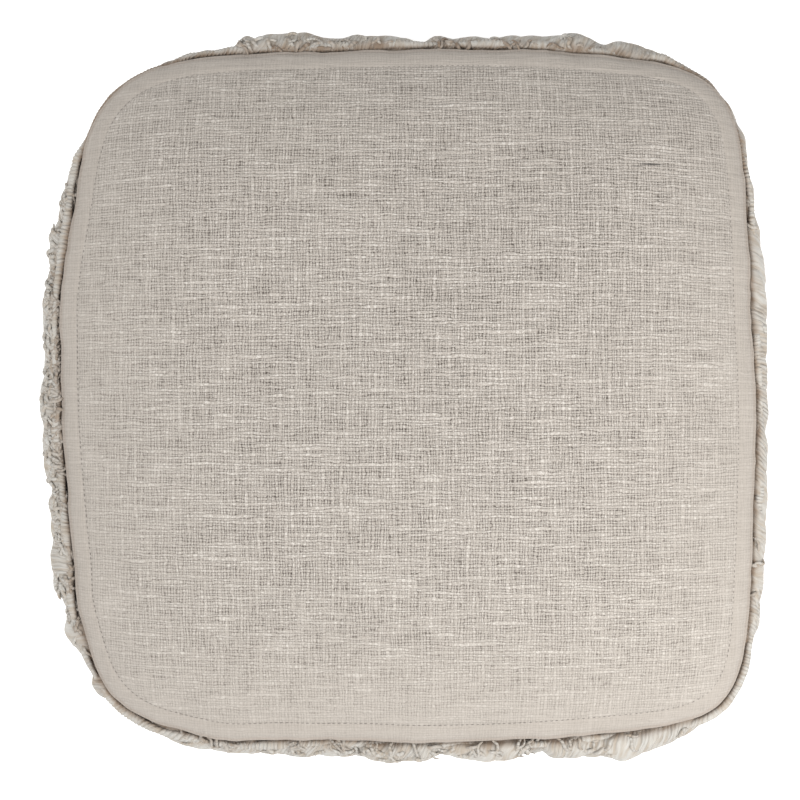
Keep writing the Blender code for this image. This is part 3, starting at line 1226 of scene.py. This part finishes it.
@dataclass(frozen=True)
class RowPlan:
    """Where the rows run and how thick they are, as in the solids."""

    rows: int = 16
    depth: float = 0.0095  # crest of a row to the cleft between two rows
    swell: float = 0.009  # how much further the sides stand out halfway up
    lumps_round: int = 31  # thick places in a row
    lump: float = 0.0042  # thick place to thin place
    sway: float = 0.0012  # slower in and out of a row
    wander: float = 0.0016  # up and down of a cleft
    proud: Sides = Sides(right=0.0076, back=0.0086, left=0.0148, front=0.0120)
    proud_corners: Corners = Corners(0.0000, -0.0010, 0.0040, 0.0040)
    bulges: tuple[Push, ...] = (
        Push(-58.0, 7.0, 0.0060),
        Push(-128.0, 6.0, 0.0020),
        Push(-148.0, 7.0, 0.0035),
        Push(57.0, 8.0, 0.0040),
        Push(88.0, 10.0, -0.0028),
        Push(110.0, 8.0, 0.0022),
        Push(180.0, 16.0, -0.0015),
    )

    def crest(self, form: Form, angle: Array) -> Array:
        """How far the crests stand past the panel's edge."""
        corner = form.cornerness(angle)
        proud = self.proud.blend(angle) * (1 - corner) + self.proud_corners.blend(angle) * corner
        return proud + pushes(self.bulges, angle)


@dataclass
class RovingRow:
    """One row of roving round the side: a closed, softly twisted, thick-and-thin tube."""

    form: Form
    plan: RowPlan
    index: int
    steps: int = 720
    sides: int = 18
    crowding: float = 0.5  # how much closer the points lie on the outer face
    ply_pitch: float = 0.045  # length of a full turn of the twist
    ply_depth: float = 0.15  # of the grooves between its strands, as a share of the radius
    drop: float = 0.0  # how much lower it lies than its share of the side

    def thickness(self, ring: Stations) -> Array:
        """Thickness over its mean, along the row: puffs |sin|^0.65 between the places where it
        is caught down, smaller lumps on them, and a slow sway.

        Args:
            ring: Stations round the pouf.

        Returns:
            One factor for each station.
        """
        turn = ring.share * TURN
        jitter = ring.noise(24, 31, self.index * 3.7)
        beat = self.plan.lumps_round * turn / 2 + 1.9 * self.index + 0.5 + 0.8 * jitter
        puff = np.abs(np.sin(beat)) ** 0.65 - 0.70
        small = 0.8 * MM * ring.noise(130, 32, self.index * 2.3)
        slow = np.sin(7 * turn + 1.3 * self.index)
        sway = 0.6 * slow + 0.4 * np.sin(12 * turn + 2.1 * self.index)
        return 1 + (self.plan.lump * puff + small + self.plan.sway * sway) / self.plan.depth

    def centre(self, ring: Stations) -> tuple[Array, Array, Array]:
        """The row's middle line.

        Args:
            ring: Stations round the pouf.

        Returns:
            Distance past the panel's edge, height, and half the row's height, for each station.
        """
        high, low = self.form.seams(ring.angle)
        turn = ring.share * TURN
        lines = []
        for cleft in (self.index, self.index + 1):
            climb = cleft / self.plan.rows
            wander = self.plan.wander * math.sin(math.pi * climb) * np.sin(3 * turn + 1.7 * cleft)
            lines.append(low + (high - low) * climb + wander)
        middle = (self.index + 0.5) / self.plan.rows
        swell = self.plan.swell * math.sin(math.pi * middle) ** 2
        out = self.plan.crest(self.form, ring.angle) + swell - self.plan.depth
        return out, (lines[0] + lines[1]) / 2 - self.drop, (lines[1] - lines[0]) / 2

    def lobes(self, ring: Stations, theta: Array) -> Array:
        """The twist: three strands seen in section, |cos(1.5 (theta - spin))|, where the spin
        grows along the row and drifts a little.

        Args:
            ring: Stations round the pouf.
            theta: Angle round the tube.

        Returns:
            A factor on the tube's radius, station by side.
        """
        spins = round(ring.length / self.ply_pitch)
        drift = ring.noise(40, 33, self.index * 1.9)
        spin = (spins * ring.share * TURN + 0.7 * drift + self.index)[:, None]
        return 1 + self.ply_depth * (np.abs(np.cos(1.5 * (theta - spin))) ** 0.8 - 0.68)

    def dusk_at(self, angle: Array, beside: Array) -> Array:
        """The painted shade that a loop shares with the row under it; none on the lower rows."""
        return 0 * beside

    def section(self, ring: Stations, theta: Array) -> tuple[Array, Array, Array]:
        """Every point of the tube.

        Args:
            ring: Stations round the pouf.
            theta: Angle round the tube; 0 points out and a quarter turn points up.

        Returns:
            Distance past the edge, height, and the painted shade for how deep in a cleft and how
            pinched each point is, station by side.
        """
        out, height, half = self.centre(ring)
        thick = self.thickness(ring)[:, None] * self.lobes(ring, theta)
        past = out[:, None] + self.plan.depth * thick * np.cos(theta)
        z = height[:, None] + 1.04 * half[:, None] * (0.35 + 0.65 * thick) * np.sin(theta)
        # painted shade: towards the clefts above and below, over the hidden inner side, and where
        # the row is pinched thin
        cleft = np.clip((np.abs(np.sin(theta)) - 0.72) / 0.28, 0, 1) ** 1.5
        cleft = np.where(np.cos(theta) < 0, 1.0, cleft) + 0 * past
        pinched = np.clip(0.88 - thick, 0, 0.4) / 0.4
        return past, z, np.clip(0.75 * cleft + 0.5 * pinched, 0, 1)

    def mesh(self, ring: Stations) -> tuple[Array, Array, Array, Array]:
        """The row as arrays. Round the tube, theta = phi - crowding sin(phi), for phi in even
        steps from -180 to 180 degrees, which crowds the points towards the outer face.

        Args:
            ring: Stations round the pouf.

        Returns:
            Points, faces, UVs and marks of painted cleft shade.
        """
        phi = np.arange(self.sides + 1) / self.sides * TURN - math.pi
        theta = phi - self.crowding * np.sin(phi)
        past, z, hollow = self.section(ring, theta[None, :-1])
        flat = ring.edge[:, None] + ring.normal[:, None] * past[..., None]
        points = np.dstack((flat, z)).reshape(-1, 3)
        faces = grid_faces(self.steps, self.sides, True, True)
        u = np.arange(self.steps + 1) / self.steps * ring.length + 0.211 * self.index
        v = (theta + math.pi) * self.plan.depth
        return points, faces, grid_uvs(u, v), hollow.ravel()


@dataclass
class TopRow(RovingRow):
    """The top row, which shows beyond the panel from above: finer, with the notches where the
    photo has them, and a groove along the panel's edge."""

    steps: int = 1700
    sides: int = 34
    crowding: float = 0.2
    ply_pitch: float = 0.074
    ply_depth: float = 0.13
    drop: float = 0.0012
    fullness: float = 1.13  # mean thickness over that of the other rows
    groove: Sides = Sides(right=0.0030, back=0.0034, left=0.0026, front=0.0050)
    groove_width: Sides = Sides(right=0.0016, back=0.0018, left=0.0014, front=0.0018)
    shade_reach: float = 4.2 * MM  # past the fold, for a change of 1 in the groove's shade
    # dusk: softer painted shade beside the panel on each side, strongest at the back, away from the
    # lights
    dusk: Sides = Sides(right=0.30, back=1.0, left=0.58, front=0.32)
    dusk_reach: float = 4.5 * MM  # the same for the softer shade past it
    covered: float = 0.4 * MM  # past the fold, as far as the row is pressed down
    seat: float = 3.9 * MM  # how far below the panel's edge it is pressed
    notches: tuple[Push, ...] = (
        notch(-165, 4.0), notch(-148, 5.5), notch(-139, 4.5), notch(-134, 2.5), notch(-128, 2.5),
        notch(-113, 3.5), notch(-99, 4.5), notch(-85, 3.2), notch(-70, 6.5), notch(-62, 3.0),
        notch(-47, 2.5), notch(-6, 0.8), notch(28, 2.0), notch(61, 4.0), notch(88, 3.8),
        notch(101, 2.2), notch(118.5, 7.5, 2.0), notch(131, 2.0), notch(141, 4.2),
        notch(153, 5.0), notch(161, 4.2),
    )
    trims: tuple[Push, ...] = (
        Push(-177.0, 1.6, 0.0026),
        Push(-172.0, 5.0, 0.0025),
        Push(-164.0, 3.0, -0.0018),
        Push(-165.5, 1.8, 0.0022),
        Push(-158.0, 3.2, -0.0036),
        Push(-149.3, 1.3, 0.0026),
        Push(-146.0, 1.3, -0.0026),
        Push(-145.0, 3.5, 0.0034),
        Push(-137.0, 1.8, 0.0026),
        Push(-127.0, 5.0, -0.0025),
        Push(-102.0, 6.0, -0.0026),
        Push(-93.0, 1.5, 0.0024),
        Push(-44.0, 5.0, -0.0040),
        Push(38.0, 2.0, 0.0022),
        Push(50.0, 5.0, -0.0015),
        Push(66.0, 2.5, 0.0036),
        Push(83.0, 4.0, 0.0018),
        Push(97.0, 7.0, 0.0026),
        Push(116.0, 1.3, 0.0036),
        Push(132.0, 4.0, -0.0030),
        Push(162.0, 7.0, -0.0030),
    )

    def thickness(self, ring: Stations) -> Array:
        """Thickness over its mean: drawn in at each notch, lumpy between them, and calmer on
        the right side."""
        calm = 1 - 0.6 * np.clip(np.cos(ring.angle), 0, 1) ** 2
        lumps = 1.5 * MM * ring.noise(75, 41) + 0.8 * MM * ring.noise(190, 42, 7)
        trimmed = pushes(self.notches + self.trims, ring.angle)
        return self.fullness + (lumps * calm + trimmed) / self.plan.depth

    def lobes(self, ring: Stations, theta: Array) -> Array:
        """The three strands of the twist, with nine finer ones on them."""
        coarse = super().lobes(ring, theta)
        turns = 3 * round(ring.length / self.ply_pitch)
        spin = (turns * ring.share * TURN + 1.5 * ring.noise(60, 43, 3.1))[:, None]
        return coarse + 0.085 * (np.abs(np.sin(4.5 * theta - spin)) - 0.64)

    def dusk_at(self, angle: Array, beside: Array) -> Array:
        """The softer painted shade past the groove, which fades out 7 mm from the fold."""
        return self.dusk.blend(angle) * np.clip(1.6 - beside / self.dusk_reach, 0, 1)

    @staticmethod
    def patches(ring: Stations) -> Array:
        """How the painted shade beside the panel comes and goes along the row, from -1 to 1."""
        return (0.6 * ring.noise(150, 44, 11) + 0.4 * ring.noise(380, 45, 13))[:, None]

    def section(self, ring: Stations, theta: Array) -> tuple[Array, Array, Array]:
        """As for the other rows, but the cleft that shows is the groove along the panel."""
        past, z, _ = super().section(ring, theta)
        edge = self.form.top(1.0, ring.angle)[:, None]
        fold = self.form.fold(ring.angle)[:, None]
        width = self.groove_width.blend(ring.angle)[:, None]
        near = bell(np.clip(past - fold, 0, None), width) * (np.sin(theta) > 0)
        shallow = 1 - 0.8 * self.form.cornerness(ring.angle)[:, None]
        z = z - self.groove.blend(ring.angle)[:, None] * shallow * near
        z = np.where(past < fold + self.covered, np.minimum(z, edge - self.seat), z)
        # painted shade: in the groove beside the panel and a softer dusk past it that comes and
        # goes in patches, both on the upper face, and in the low cleft
        low_cleft = np.clip((-np.sin(theta) - 0.72) / 0.28, 0, 1) ** 1.5
        patch = self.patches(ring)
        shade = np.clip(1.3 + 0.45 * patch - (past - fold) / self.shade_reach, 0, 1) ** 1.6
        dusk = self.dusk_at(ring.angle[:, None], past - fold) * (1 + 0.6 * patch)
        shade = np.maximum(shade, dusk)
        shade = shade * np.clip(2 * np.sin(theta), 0, 1)
        return past, z, np.clip(np.maximum(shade, low_cleft * 0.75) + 0 * z, 0, 1)


@dataclass
class SeamStrand:
    """The roving's last strand, twisted tight, which fills the crevice beside the panel's edge
    and wanders in and out of it."""

    form: Form
    place: Array
    plan: RowPlan
    steps: int = 3400
    sides: int = 10
    radius: float = 2.6 * MM
    rib: float = 2.3 * MM
    rise: Sides = Sides(right=-3.0 * MM, back=-1.2 * MM, left=0.4 * MM, front=-3.0 * MM)
    sunk: float = 4.3 * MM  # its middle line below the panel's edge, before the rise
    heave: float = 0.8 * MM  # up and down
    clear: float = 0.5 * MM  # between it and the fold
    wander: float = 1.1 * MM  # in and out
    tuck: float = 4.0 * MM  # how far it goes in where there is no room for it
    hem_depth: float = 2.9 * MM  # from the panel's face to the underside of its turned hem
    shade_reach: float = 2.4 * MM  # past the fold, for a change of 1 in its shade
    # dusk: softer painted shade beside the panel on each side, most at the back
    dusk: Sides = Sides(right=0.08, back=0.36, left=0.10, front=0.05)
    dusk_reach: float = 2.8 * MM  # the same for the softer shade added to it

    def build(self) -> bpy.types.Object:
        """A closed tube along the fold: its radius swells and thins, and a helical rib
        |sin(turns along it + angle round it)| stands on it. Where the top row leaves it no room
        it is tucked under the hem.

        Returns:
            The strand's object.
        """
        ring = self.form.outline.stations(self.steps)
        theta = np.arange(self.sides)[None] / self.sides * TURN
        thick = 1 + 0.30 * ring.noise(90, 51) + 0.14 * ring.noise(260, 52)
        tight = np.clip(0.5 + 1.2 * ring.noise(46, 53, 3), 0, 1)[:, None]
        ribs = round(ring.length / self.rib) * ring.share[:, None] * math.pi
        ribbed = 1 + 0.24 * tight * (np.abs(np.sin(ribs + theta / 2)) - 0.64)
        radius = self.radius * thick[:, None] * ribbed
        fold = self.form.fold(ring.angle)
        beside = fold + self.radius + self.clear + self.wander * ring.noise(60, 54, 5)
        edge = self.form.top(1.0, ring.angle)
        rise = self.rise.blend(ring.angle)
        under = edge - self.sunk + rise + self.heave * ring.noise(50, 55, 9)
        room = self.plan.crest(self.form, ring.angle) - beside - self.radius
        tucked = np.clip(-room / (3 * MM), 0, 1)
        below_hem = edge - self.hem_depth - self.radius
        beside, under = beside - self.tuck * tucked, under + (below_hem - under) * tucked
        past = beside[:, None] + radius * np.cos(theta)
        z = under[:, None] + radius * np.sin(theta)
        flat = ring.edge[:, None] + ring.normal[:, None] * past[..., None]
        points = np.dstack((flat, z)).reshape(-1, 3) + self.place
        # painted shade: darkest beside the fold, a softer dusk past it, and all over the strand's
        # underside
        out = past - fold[:, None]
        dusk = self.dusk.blend(ring.angle)[:, None] * np.clip(1.6 - out / self.dusk_reach, 0, 1)
        shade = np.clip(np.clip(1.2 - out / self.shade_reach, 0, 1) + dusk, 0, 1)
        shade = np.maximum(shade, np.clip(-np.sin(theta), 0, 1))
        u = np.arange(self.steps + 1) / self.steps * ring.length
        v = np.arange(self.sides + 1) / self.sides * TURN * self.radius
        faces = grid_faces(self.steps, self.sides, True, True)
        return add_mesh("seam_strand", points, [faces], [grid_uvs(u, v)], {"hollow": shade})

    def dress(self, made: bpy.types.Object, finish: bpy.types.Material) -> None:
        """Gives the strand its finish."""
        made.data.materials.append(finish)
        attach(made, "root")


@dataclass
class RovingRows:
    """All the rows round the side, in a few joined pieces."""

    form: Form
    place: Array
    plan: RowPlan = RowPlan()
    groups: tuple[tuple[int, int], ...] = ((0, 5), (5, 10), (10, 15))

    def build(self) -> list[bpy.types.Object]:
        """The rows below the top one, five to a piece, and the top one as a piece of its own.

        Returns:
            The pieces.
        """
        made = []
        lower = self.lower_rows()
        for first, last in self.groups:
            made.append(self.join(f"roving_rows_{first + 1}_to_{last}", lower[first:last]))
        made.append(self.join("roving_row_16", [self.top_row()]))
        return made

    def lower_rows(self) -> list[RovingRow]:
        """The rows below the top one, from the base up."""
        return [RovingRow(self.form, self.plan, index) for index in range(self.plan.rows - 1)]

    def top_row(self) -> TopRow:
        """The row beside the top panel."""
        return TopRow(self.form, self.plan, self.plan.rows - 1)

    def join(self, name: str, rows: Sequence[RovingRow]) -> bpy.types.Object:
        """Several rows as one mesh."""
        ring = self.form.outline.stations(rows[0].steps)
        points, faces, uvs, hollow = zip(*(row.mesh(ring) for row in rows))
        first = np.cumsum([0] + [len(part) for part in points[:-1]])
        faces = [part + start for part, start in zip(faces, first)]
        together = np.concatenate(points) + self.place
        return add_mesh(name, together, faces, uvs, {"hollow": np.concatenate(hollow)})

    def dress(
        self,
        made: Sequence[bpy.types.Object],
        finish: bpy.types.Material,
        top_finish: bpy.types.Material,
    ) -> None:
        """Gives each piece its finish, and the top row its own."""
        for piece in made:
            piece.data.materials.append(top_finish if piece is made[-1] else finish)
            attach(piece, "root")
            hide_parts("side_band")


@dataclass(frozen=True)
class LoopSizes:
    """The least and the most of each size of a loop, in metres."""

    length: tuple[float, float]
    rise: tuple[float, float]
    snake: tuple[float, float]
    radius: tuple[float, float]

    def draw(self, rng: np.random.Generator, count: int) -> Array:
        """Length, rise, snaking and radius of each loop, drawn evenly between their limits."""
        low, high = zip(self.length, self.rise, self.snake, self.radius)
        return rng.uniform(low, high, (count, 4))


@dataclass
class Curls:
    """Small loops of strand that spring out of the roving: over the top row beside the panel,
    and out of the rows of the side, mostly near their clefts."""

    form: Form
    place: Array
    rows: RovingRows
    seam_count: int = 480
    side_count: int = 16  # on each of the lower rows
    segments: int = 9
    sides: int = 5
    tries: int = 9  # places drawn for each loop, of which some are kept
    lean: float = 1.25  # most that a loop turns away from the row's own direction, radians
    seam_reach: tuple[float, float] = (42, 125)  # first and last degrees round the top row
    side_reach: tuple[float, float] = (-72, 72)  # and round the others
    seed: int = 61
    crowd: Sides = Sides(right=0.0, back=0.30, left=1.0, front=0.40)
    clear: Sides = Sides(right=1.2 * MM, back=1.6 * MM, left=1.4 * MM, front=2.4 * MM)
    seam_sizes: LoopSizes = LoopSizes(
        (6.0 * MM, 13.0 * MM), (0.4 * MM, 1.4 * MM), (-2.0 * MM, 2.0 * MM), (0.80 * MM, 1.45 * MM)
    )
    side_sizes: LoopSizes = LoopSizes(
        (14.0 * MM, 30.0 * MM), (0.6 * MM, 1.8 * MM), (-2.2 * MM, 2.2 * MM), (0.40 * MM, 0.65 * MM)
    )

    def loops(self, middle: Array, run: Array, lift: Array, sizes: Array) -> tuple[Array, Array]:
        """Middle lines of loops: each runs along one direction, rises as a sine along a second
        and snakes as a double sine along the third.

        Args:
            middle: Where each loop stands.
            run: Direction it runs in.
            lift: Direction it springs in.
            sizes: Length, rise, snaking and radius of each loop.

        Returns:
            Points and radii, loop by step.
        """
        t = np.linspace(0, 1, self.segments + 1)[None, :, None]
        length, rise, snake, radius = (sizes[:, k, None, None] for k in range(4))
        aside = np.cross(run, lift)[:, None]
        path = middle[:, None] + run[:, None] * (t - 0.5) * length
        path = path + lift[:, None] * (np.sin(math.pi * t) * (rise + 1.6 * radius) - 1.6 * radius)
        path = path + aside * np.sin(TURN * t) * snake
        return path, (radius * (0.45 + 0.55 * np.sin(math.pi * t) ** 0.5))[..., 0]

    def build(self) -> bpy.types.Object:
        """All the loops as one mesh.

        Returns:
            The loops' object.
        """
        rng = np.random.default_rng(self.seed)
        ring = self.form.outline.stations(2400)
        seam = self.seam_reach, self.seam_count, self.beside_panel
        side = self.side_reach, self.side_count, self.near_clefts
        placed = [self.strewn(rng, ring, self.rows.top_row(), *seam)]
        sizes = [self.seam_sizes.draw(rng, len(placed[0][0]))]
        for row in self.rows.lower_rows():
            placed.append(self.strewn(rng, ring, row, *side))
            sizes.append(self.side_sizes.draw(rng, len(placed[-1][0])))
        middle, run, lift, dusk = (np.concatenate(part) for part in zip(*placed))
        path, radius = self.loops(middle, run, lift, np.concatenate(sizes))
        marks = {"hollow": self.shade(radius, dusk)}
        return tubes("roving_curls", path + self.place, radius, self.sides, marks)

    def beside_panel(self, beside: Array, angle: Array, face: Array) -> Array:
        """Share of places on the top row that hold a loop: most beside the panel, fewer
        further out, at the corners and on the calm right side."""
        crowd = self.crowd.blend(angle) * (1 - 0.9 * self.form.cornerness(angle))
        clear = self.clear.blend(angle)
        return (beside > clear) * crowd * np.exp(-beside / (9 * MM))

    def near_clefts(self, beside: Array, angle: Array, face: Array) -> Array:
        """Share of places on a lower row that hold a loop: 0.12 + 0.88 sin^2 of the angle
        round the row."""
        return 0.12 + 0.88 * np.sin(face) ** 2

    def strewn(
        self,
        rng: np.random.Generator,
        ring: Stations,
        row: RovingRow,
        reach: tuple[float, float],
        count: int,
        chance: Callable[[Array, Array, Array], Array],
    ) -> tuple[Array, Array, Array, Array]:
        """Loops strewn over the face of a row.

        Args:
            rng: Source of the random draws.
            ring: Stations round the pouf.
            row: The row that they stand on.
            reach: First and last angle round the row that they stand at, in degrees.
            count: How many loops.
            chance: Share of places kept, for a distance past the fold, a direction from the
                middle of the pouf and an angle round the row.

        Returns:
            For each loop, the place of its middle, the direction that it runs in, the one that it
            springs in, and the painted shade that it stands in.
        """
        theta = np.radians(np.linspace(*reach, 30))
        past, z, _ = row.section(ring, theta[None])
        tries = self.tries * count
        at = rng.integers(0, ring.count, tries)
        step = rng.integers(0, len(theta), tries)
        beside = past[at, step] - self.form.fold(ring.angle[at])
        kept = rng.uniform(0, 1, tries) < chance(beside, ring.angle[at], theta[step])
        at, step = at[kept][:count], step[kept][:count]
        normal = np.column_stack((ring.normal[at], np.zeros(len(at))))
        along = np.column_stack((-normal[:, 1], normal[:, 0], np.zeros(len(at))))
        up = np.array([0.0, 0.0, 1.0])
        face = theta[step][:, None]
        lift = normal * np.cos(face) + up * np.sin(face)
        down = normal * np.sin(face) - up * np.cos(face)
        middle = np.column_stack((ring.edge[at], z[at, step])) + normal * past[at, step][:, None]
        lean = rng.uniform(-self.lean, self.lean, len(at))[:, None]
        dusk = row.dusk_at(ring.angle[at], beside[kept][:count])
        return middle, along * np.cos(lean) + down * np.sin(lean), lift, dusk

    @staticmethod
    def shade(radius: Array, dusk: Array) -> Array:
        """Painted shade marks: the ends of a loop lie deep and dark, its middle in the light or in
        the row's painted dusk.
        """
        ends = 0.40 * np.abs(np.linspace(-1, 1, radius.shape[1])) ** 3
        return np.clip(ends[None] + dusk[:, None], 0, 1)

    def dress(self, made: bpy.types.Object, finish: bpy.types.Material) -> None:
        """Gives the loops their finish."""
        made.data.materials.append(finish)
        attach(made, "root")


# ---------------------------------------------------------------- stuffed body


@dataclass
class StuffedBody:
    """The stuffed body behind the rows: one closed form, puffed by a cloth simulation."""

    form: Form
    place: Array
    plan: RowPlan = RowPlan()
    stations: int = 150
    rings: int = 40  # up the side
    side_reach: tuple[float, float] = (0.03, 0.97)  # their first and last, as shares of it
    dome_rings: int = 12  # on each dome
    dome_reach: tuple[float, float] = (0.08, 0.97)  # their first and last, as shares of the edge
    inset: float = 5.0 * MM
    below_panel: float = 2.0 * MM
    above_base: float = 1.0 * MM
    voxel: float = 6.0 * MM
    pressure: float = 4.0
    frames: int = 20
    cap: float = 4.0 * MM

    def build(self) -> bpy.types.Object:
        """The body before it is puffed: rings up the side between two domes of rings, each dome
        closed by a point.

        Returns:
            The body's object.
        """
        ring = self.form.outline.stations(self.stations)
        shares = np.linspace(*self.dome_reach, self.dome_rings)
        under = self.cloth_gap()
        level = np.ones(ring.count)
        low = [np.column_stack((ring.edge * s, self.bottom(s) * level)) for s in shares]
        high = [
            np.column_stack((ring.edge * s, self.form.top(s, ring.angle) - under))
            for s in shares[::-1]
        ]
        top, bottom = self.form.seams(ring.angle)
        side = []
        for climb in np.linspace(*self.side_reach, self.rings):
            swell = self.plan.swell * math.sin(math.pi * climb) ** 2
            out = self.plan.crest(self.form, ring.angle) + swell - self.plan.depth - self.inset
            side.append(np.column_stack((ring.out(out), bottom + (top - bottom) * climb)))
        rows = np.array([*low, *side, *high])
        points = rows.reshape(-1, 3)
        crown = self.form.top(0.0, np.zeros(1))[0] - under
        ends = np.array([[0, 0, self.bottom(0.0)], [0, 0, crown]])
        count, last = ring.count, (len(rows) - 1) * ring.count
        quads = grid_faces(len(rows), count, False, True)[:, ::-1]
        j = np.arange(count)
        foot = np.column_stack((np.full(count, len(points)), (j + 1) % count, j))
        head = np.column_stack((np.full(count, len(points) + 1), last + j, last + (j + 1) % count))
        points = np.concatenate((points, ends)) + self.place
        return add_mesh("stuffed_body", points, [quads, foot, head])

    def cloth_gap(self) -> float:
        """Depth of the body below the top panel's upper face."""
        return self.form.cloth + self.form.gap + self.below_panel

    def bottom(self, share: float) -> float:
        """Height of the body's lower face, just above the base panel."""
        base = float(self.form.base(np.array(share)))
        return base + self.form.cloth + self.form.gap + self.above_base

    def puff(self, body: bpy.types.Object) -> None:
        """Remeshes the body and lets its cloth swell under pressure, with each point's move
        kept under the cap, the top under the panel and the foot on the base.

        Args:
            body: The body's object.
        """
        self.apply(body, "REMESH", {"mode": "VOXEL", "voxel_size": self.voxel})
        start = self.corners(body)
        cloth = body.modifiers.new("puff", "CLOTH")
        cloth.settings.use_pressure = True
        cloth.settings.uniform_pressure_force = self.pressure
        cloth.settings.effector_weights.gravity = 0.0
        scene = bpy.context.scene
        scene.frame_start = 1
        scene.frame_end = self.frames
        for frame_number in range(1, self.frames + 1):
            scene.frame_set(frame_number)
        shape = body.evaluated_get(bpy.context.evaluated_depsgraph_get())
        end = self.corners(shape)
        body.modifiers.remove(cloth)
        scene.frame_set(1)
        move = end - start
        length = np.linalg.norm(move, axis=1, keepdims=True)
        move *= np.minimum(1.0, self.cap / np.maximum(length, 1e-9))
        settled = self.held_in(start + move)
        body.data.vertices.foreach_set("co", settled.astype(np.float32).ravel())
        body.data.update()
        body.data.shade_smooth()

    def held_in(self, points: Array) -> Array:
        """Points kept under the top panel and above the base panel."""
        local = points - self.place
        angle = np.arctan2(local[:, 1], local[:, 0])
        share = np.hypot(local[:, 0], local[:, 1]) / self.form.outline.radius(angle)
        over = share < 1
        ceiling = self.form.top(np.minimum(share, 1.0), angle) - self.cloth_gap()
        floor = self.form.base(np.minimum(share, 1.0)) + self.form.cloth + self.form.gap
        local[:, 2] = np.where(over, np.clip(local[:, 2], floor, ceiling), local[:, 2])
        return local + self.place

    @staticmethod
    def corners(body: bpy.types.Object) -> Array:
        """The mesh's vertices as rows of x, y and z."""
        flat = np.zeros(len(body.data.vertices) * 3, np.float32)
        body.data.vertices.foreach_get("co", flat)
        return flat.reshape(-1, 3).astype(float)

    @staticmethod
    def apply(body: bpy.types.Object, kind: str, settings: dict) -> None:
        """Adds a modifier with its settings and bakes it into the mesh."""
        modifier = body.modifiers.new(kind.lower(), kind)
        for name, value in settings.items():
            setattr(modifier, name, value)
        shape = body.evaluated_get(bpy.context.evaluated_depsgraph_get())
        mesh = bpy.data.meshes.new_from_object(shape)
        body.modifiers.clear()
        body.data = mesh

    def dress(self, body: bpy.types.Object, finish: bpy.types.Material) -> None:
        body.data.materials.clear()
        body.data.materials.append(finish)
        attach(body, "root")
        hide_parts("side_band")


# ---------------------------------------------------------------- studio


@dataclass(frozen=True)
class SoftLight:
    """A square area light that points at the pouf."""

    name: str
    at: tuple[float, float, float]
    size: float
    power: float
    colour: tuple[float, float, float] = (1.0, 1.0, 1.0)

    def build(self, target: Vector) -> None:
        """Makes the light and turns it to the target."""
        data = bpy.data.lights.new(self.name, "AREA")
        data.shape = "SQUARE"
        data.size = self.size
        data.energy = self.power
        data.color = self.colour
        made = bpy.data.objects.new(self.name, data)
        made.visible_camera = False
        made.location = self.at
        made.rotation_mode = "QUATERNION"
        made.rotation_quaternion = (target - made.location).to_track_quat("-Z", "Y")
        bpy.context.collection.objects.link(made)


@dataclass
class Studio:
    """Plain pale floor, a large soft light high on the left, a small one nearer on the right,
    both a little in front, and a camera straight above."""

    floor_half: float = 15.0
    sky: float = 0.5
    aim: tuple[float, float, float] = (0.0, 0.0, 0.25)  # what the lights point at
    camera_height: float = 1.905
    camera_at: tuple[float, float] = (-0.00214, -0.00122)
    field: float = 0.4896  # width that the camera sees at the top panel's edge
    field_height: float = 0.405
    sensor: float = 36.0
    lights: tuple[SoftLight, ...] = (
        SoftLight("key", (-1.113, -0.450, 2.378), 1.5, 35.0, (0.99, 0.995, 1.0)),
        SoftLight("near", (0.650, -0.375, 1.000), 0.5, 5.9, (1.0, 0.99, 0.975)),
    )

    def build(self, finish: bpy.types.Material) -> None:
        """Makes the floor, the sky, the lights and the camera.

        Args:
            finish: The floor's finish.
        """
        half = self.floor_half
        corners = np.array([[-half, -half, 0], [half, -half, 0], [half, half, 0], [-half, half, 0]])
        floor = add_mesh("floor", corners, [np.array([[0, 1, 2, 3]])])
        floor.data.materials.append(finish)
        world = bpy.data.worlds.new("studio")
        world.use_nodes = True
        background = world.node_tree.nodes["Background"]
        background.inputs["Color"].default_value = (1.0, 1.0, 1.0, 1.0)
        background.inputs["Strength"].default_value = self.sky
        scene = bpy.context.scene
        scene.world = world
        scene.view_settings.view_transform = "Standard"
        for light in self.lights:
            light.build(Vector(self.aim))
        data = bpy.data.cameras.new("camera")
        data.sensor_width = self.sensor
        data.lens = self.sensor * (self.camera_height - self.field_height) / self.field
        camera = bpy.data.objects.new("camera", data)
        camera.location = (*self.camera_at, self.camera_height)
        bpy.context.collection.objects.link(camera)
        scene.camera = camera


# ---------------------------------------------------------------- the whole scene


def report(*pieces: bpy.types.Object) -> None:
    """Logs the name and the faces of finished pieces."""
    for piece in pieces:
        LOG.info("%s: %d faces", piece.name, len(piece.data.polygons))


def main() -> None:
    """Builds and dresses every piece, in order, and reports each."""
    logging.basicConfig(level=logging.INFO, format="%(name)s: %(message)s")
    form = Form()
    place = place_of(form)
    cotton = SlubCotton().material()
    panel = TopPanel(form, place, waves=form.waves)
    cloth = panel.build()
    panel.dress(cloth, cotton)
    stitching = Topstitching(panel)
    stitches = stitching.build()
    stitching.dress(stitches, SewingThread().material())
    report(cloth, stitches)
    rows = RovingRows(form, place)
    pieces = rows.build()
    yarn = RovingYarn()
    loose_yarn = yarn.material("roving_yarn", 0.8, 0.6)
    rows.dress(pieces, loose_yarn, yarn.material("roving_yarn_top", 0.45, 0.7))
    tight_yarn = yarn.material("roving_yarn_tight", 0.2, 1.0)
    strand = SeamStrand(form, place, rows.plan)
    seam = strand.build()
    strand.dress(seam, tight_yarn)
    curls = Curls(form, place, rows)
    loops = curls.build()
    curls.dress(loops, tight_yarn)
    report(*pieces, seam, loops)
    stuffing = StuffedBody(form, place)
    body = stuffing.build()
    stuffing.puff(body)
    stuffing.dress(body, GroundCloth().material())
    base = BasePanel(form, place)
    underside = base.build()
    base.dress(underside, cotton)
    report(body, underside)
    Studio().build(PaleFloor().material())


if __name__ == "__main__":
    main()
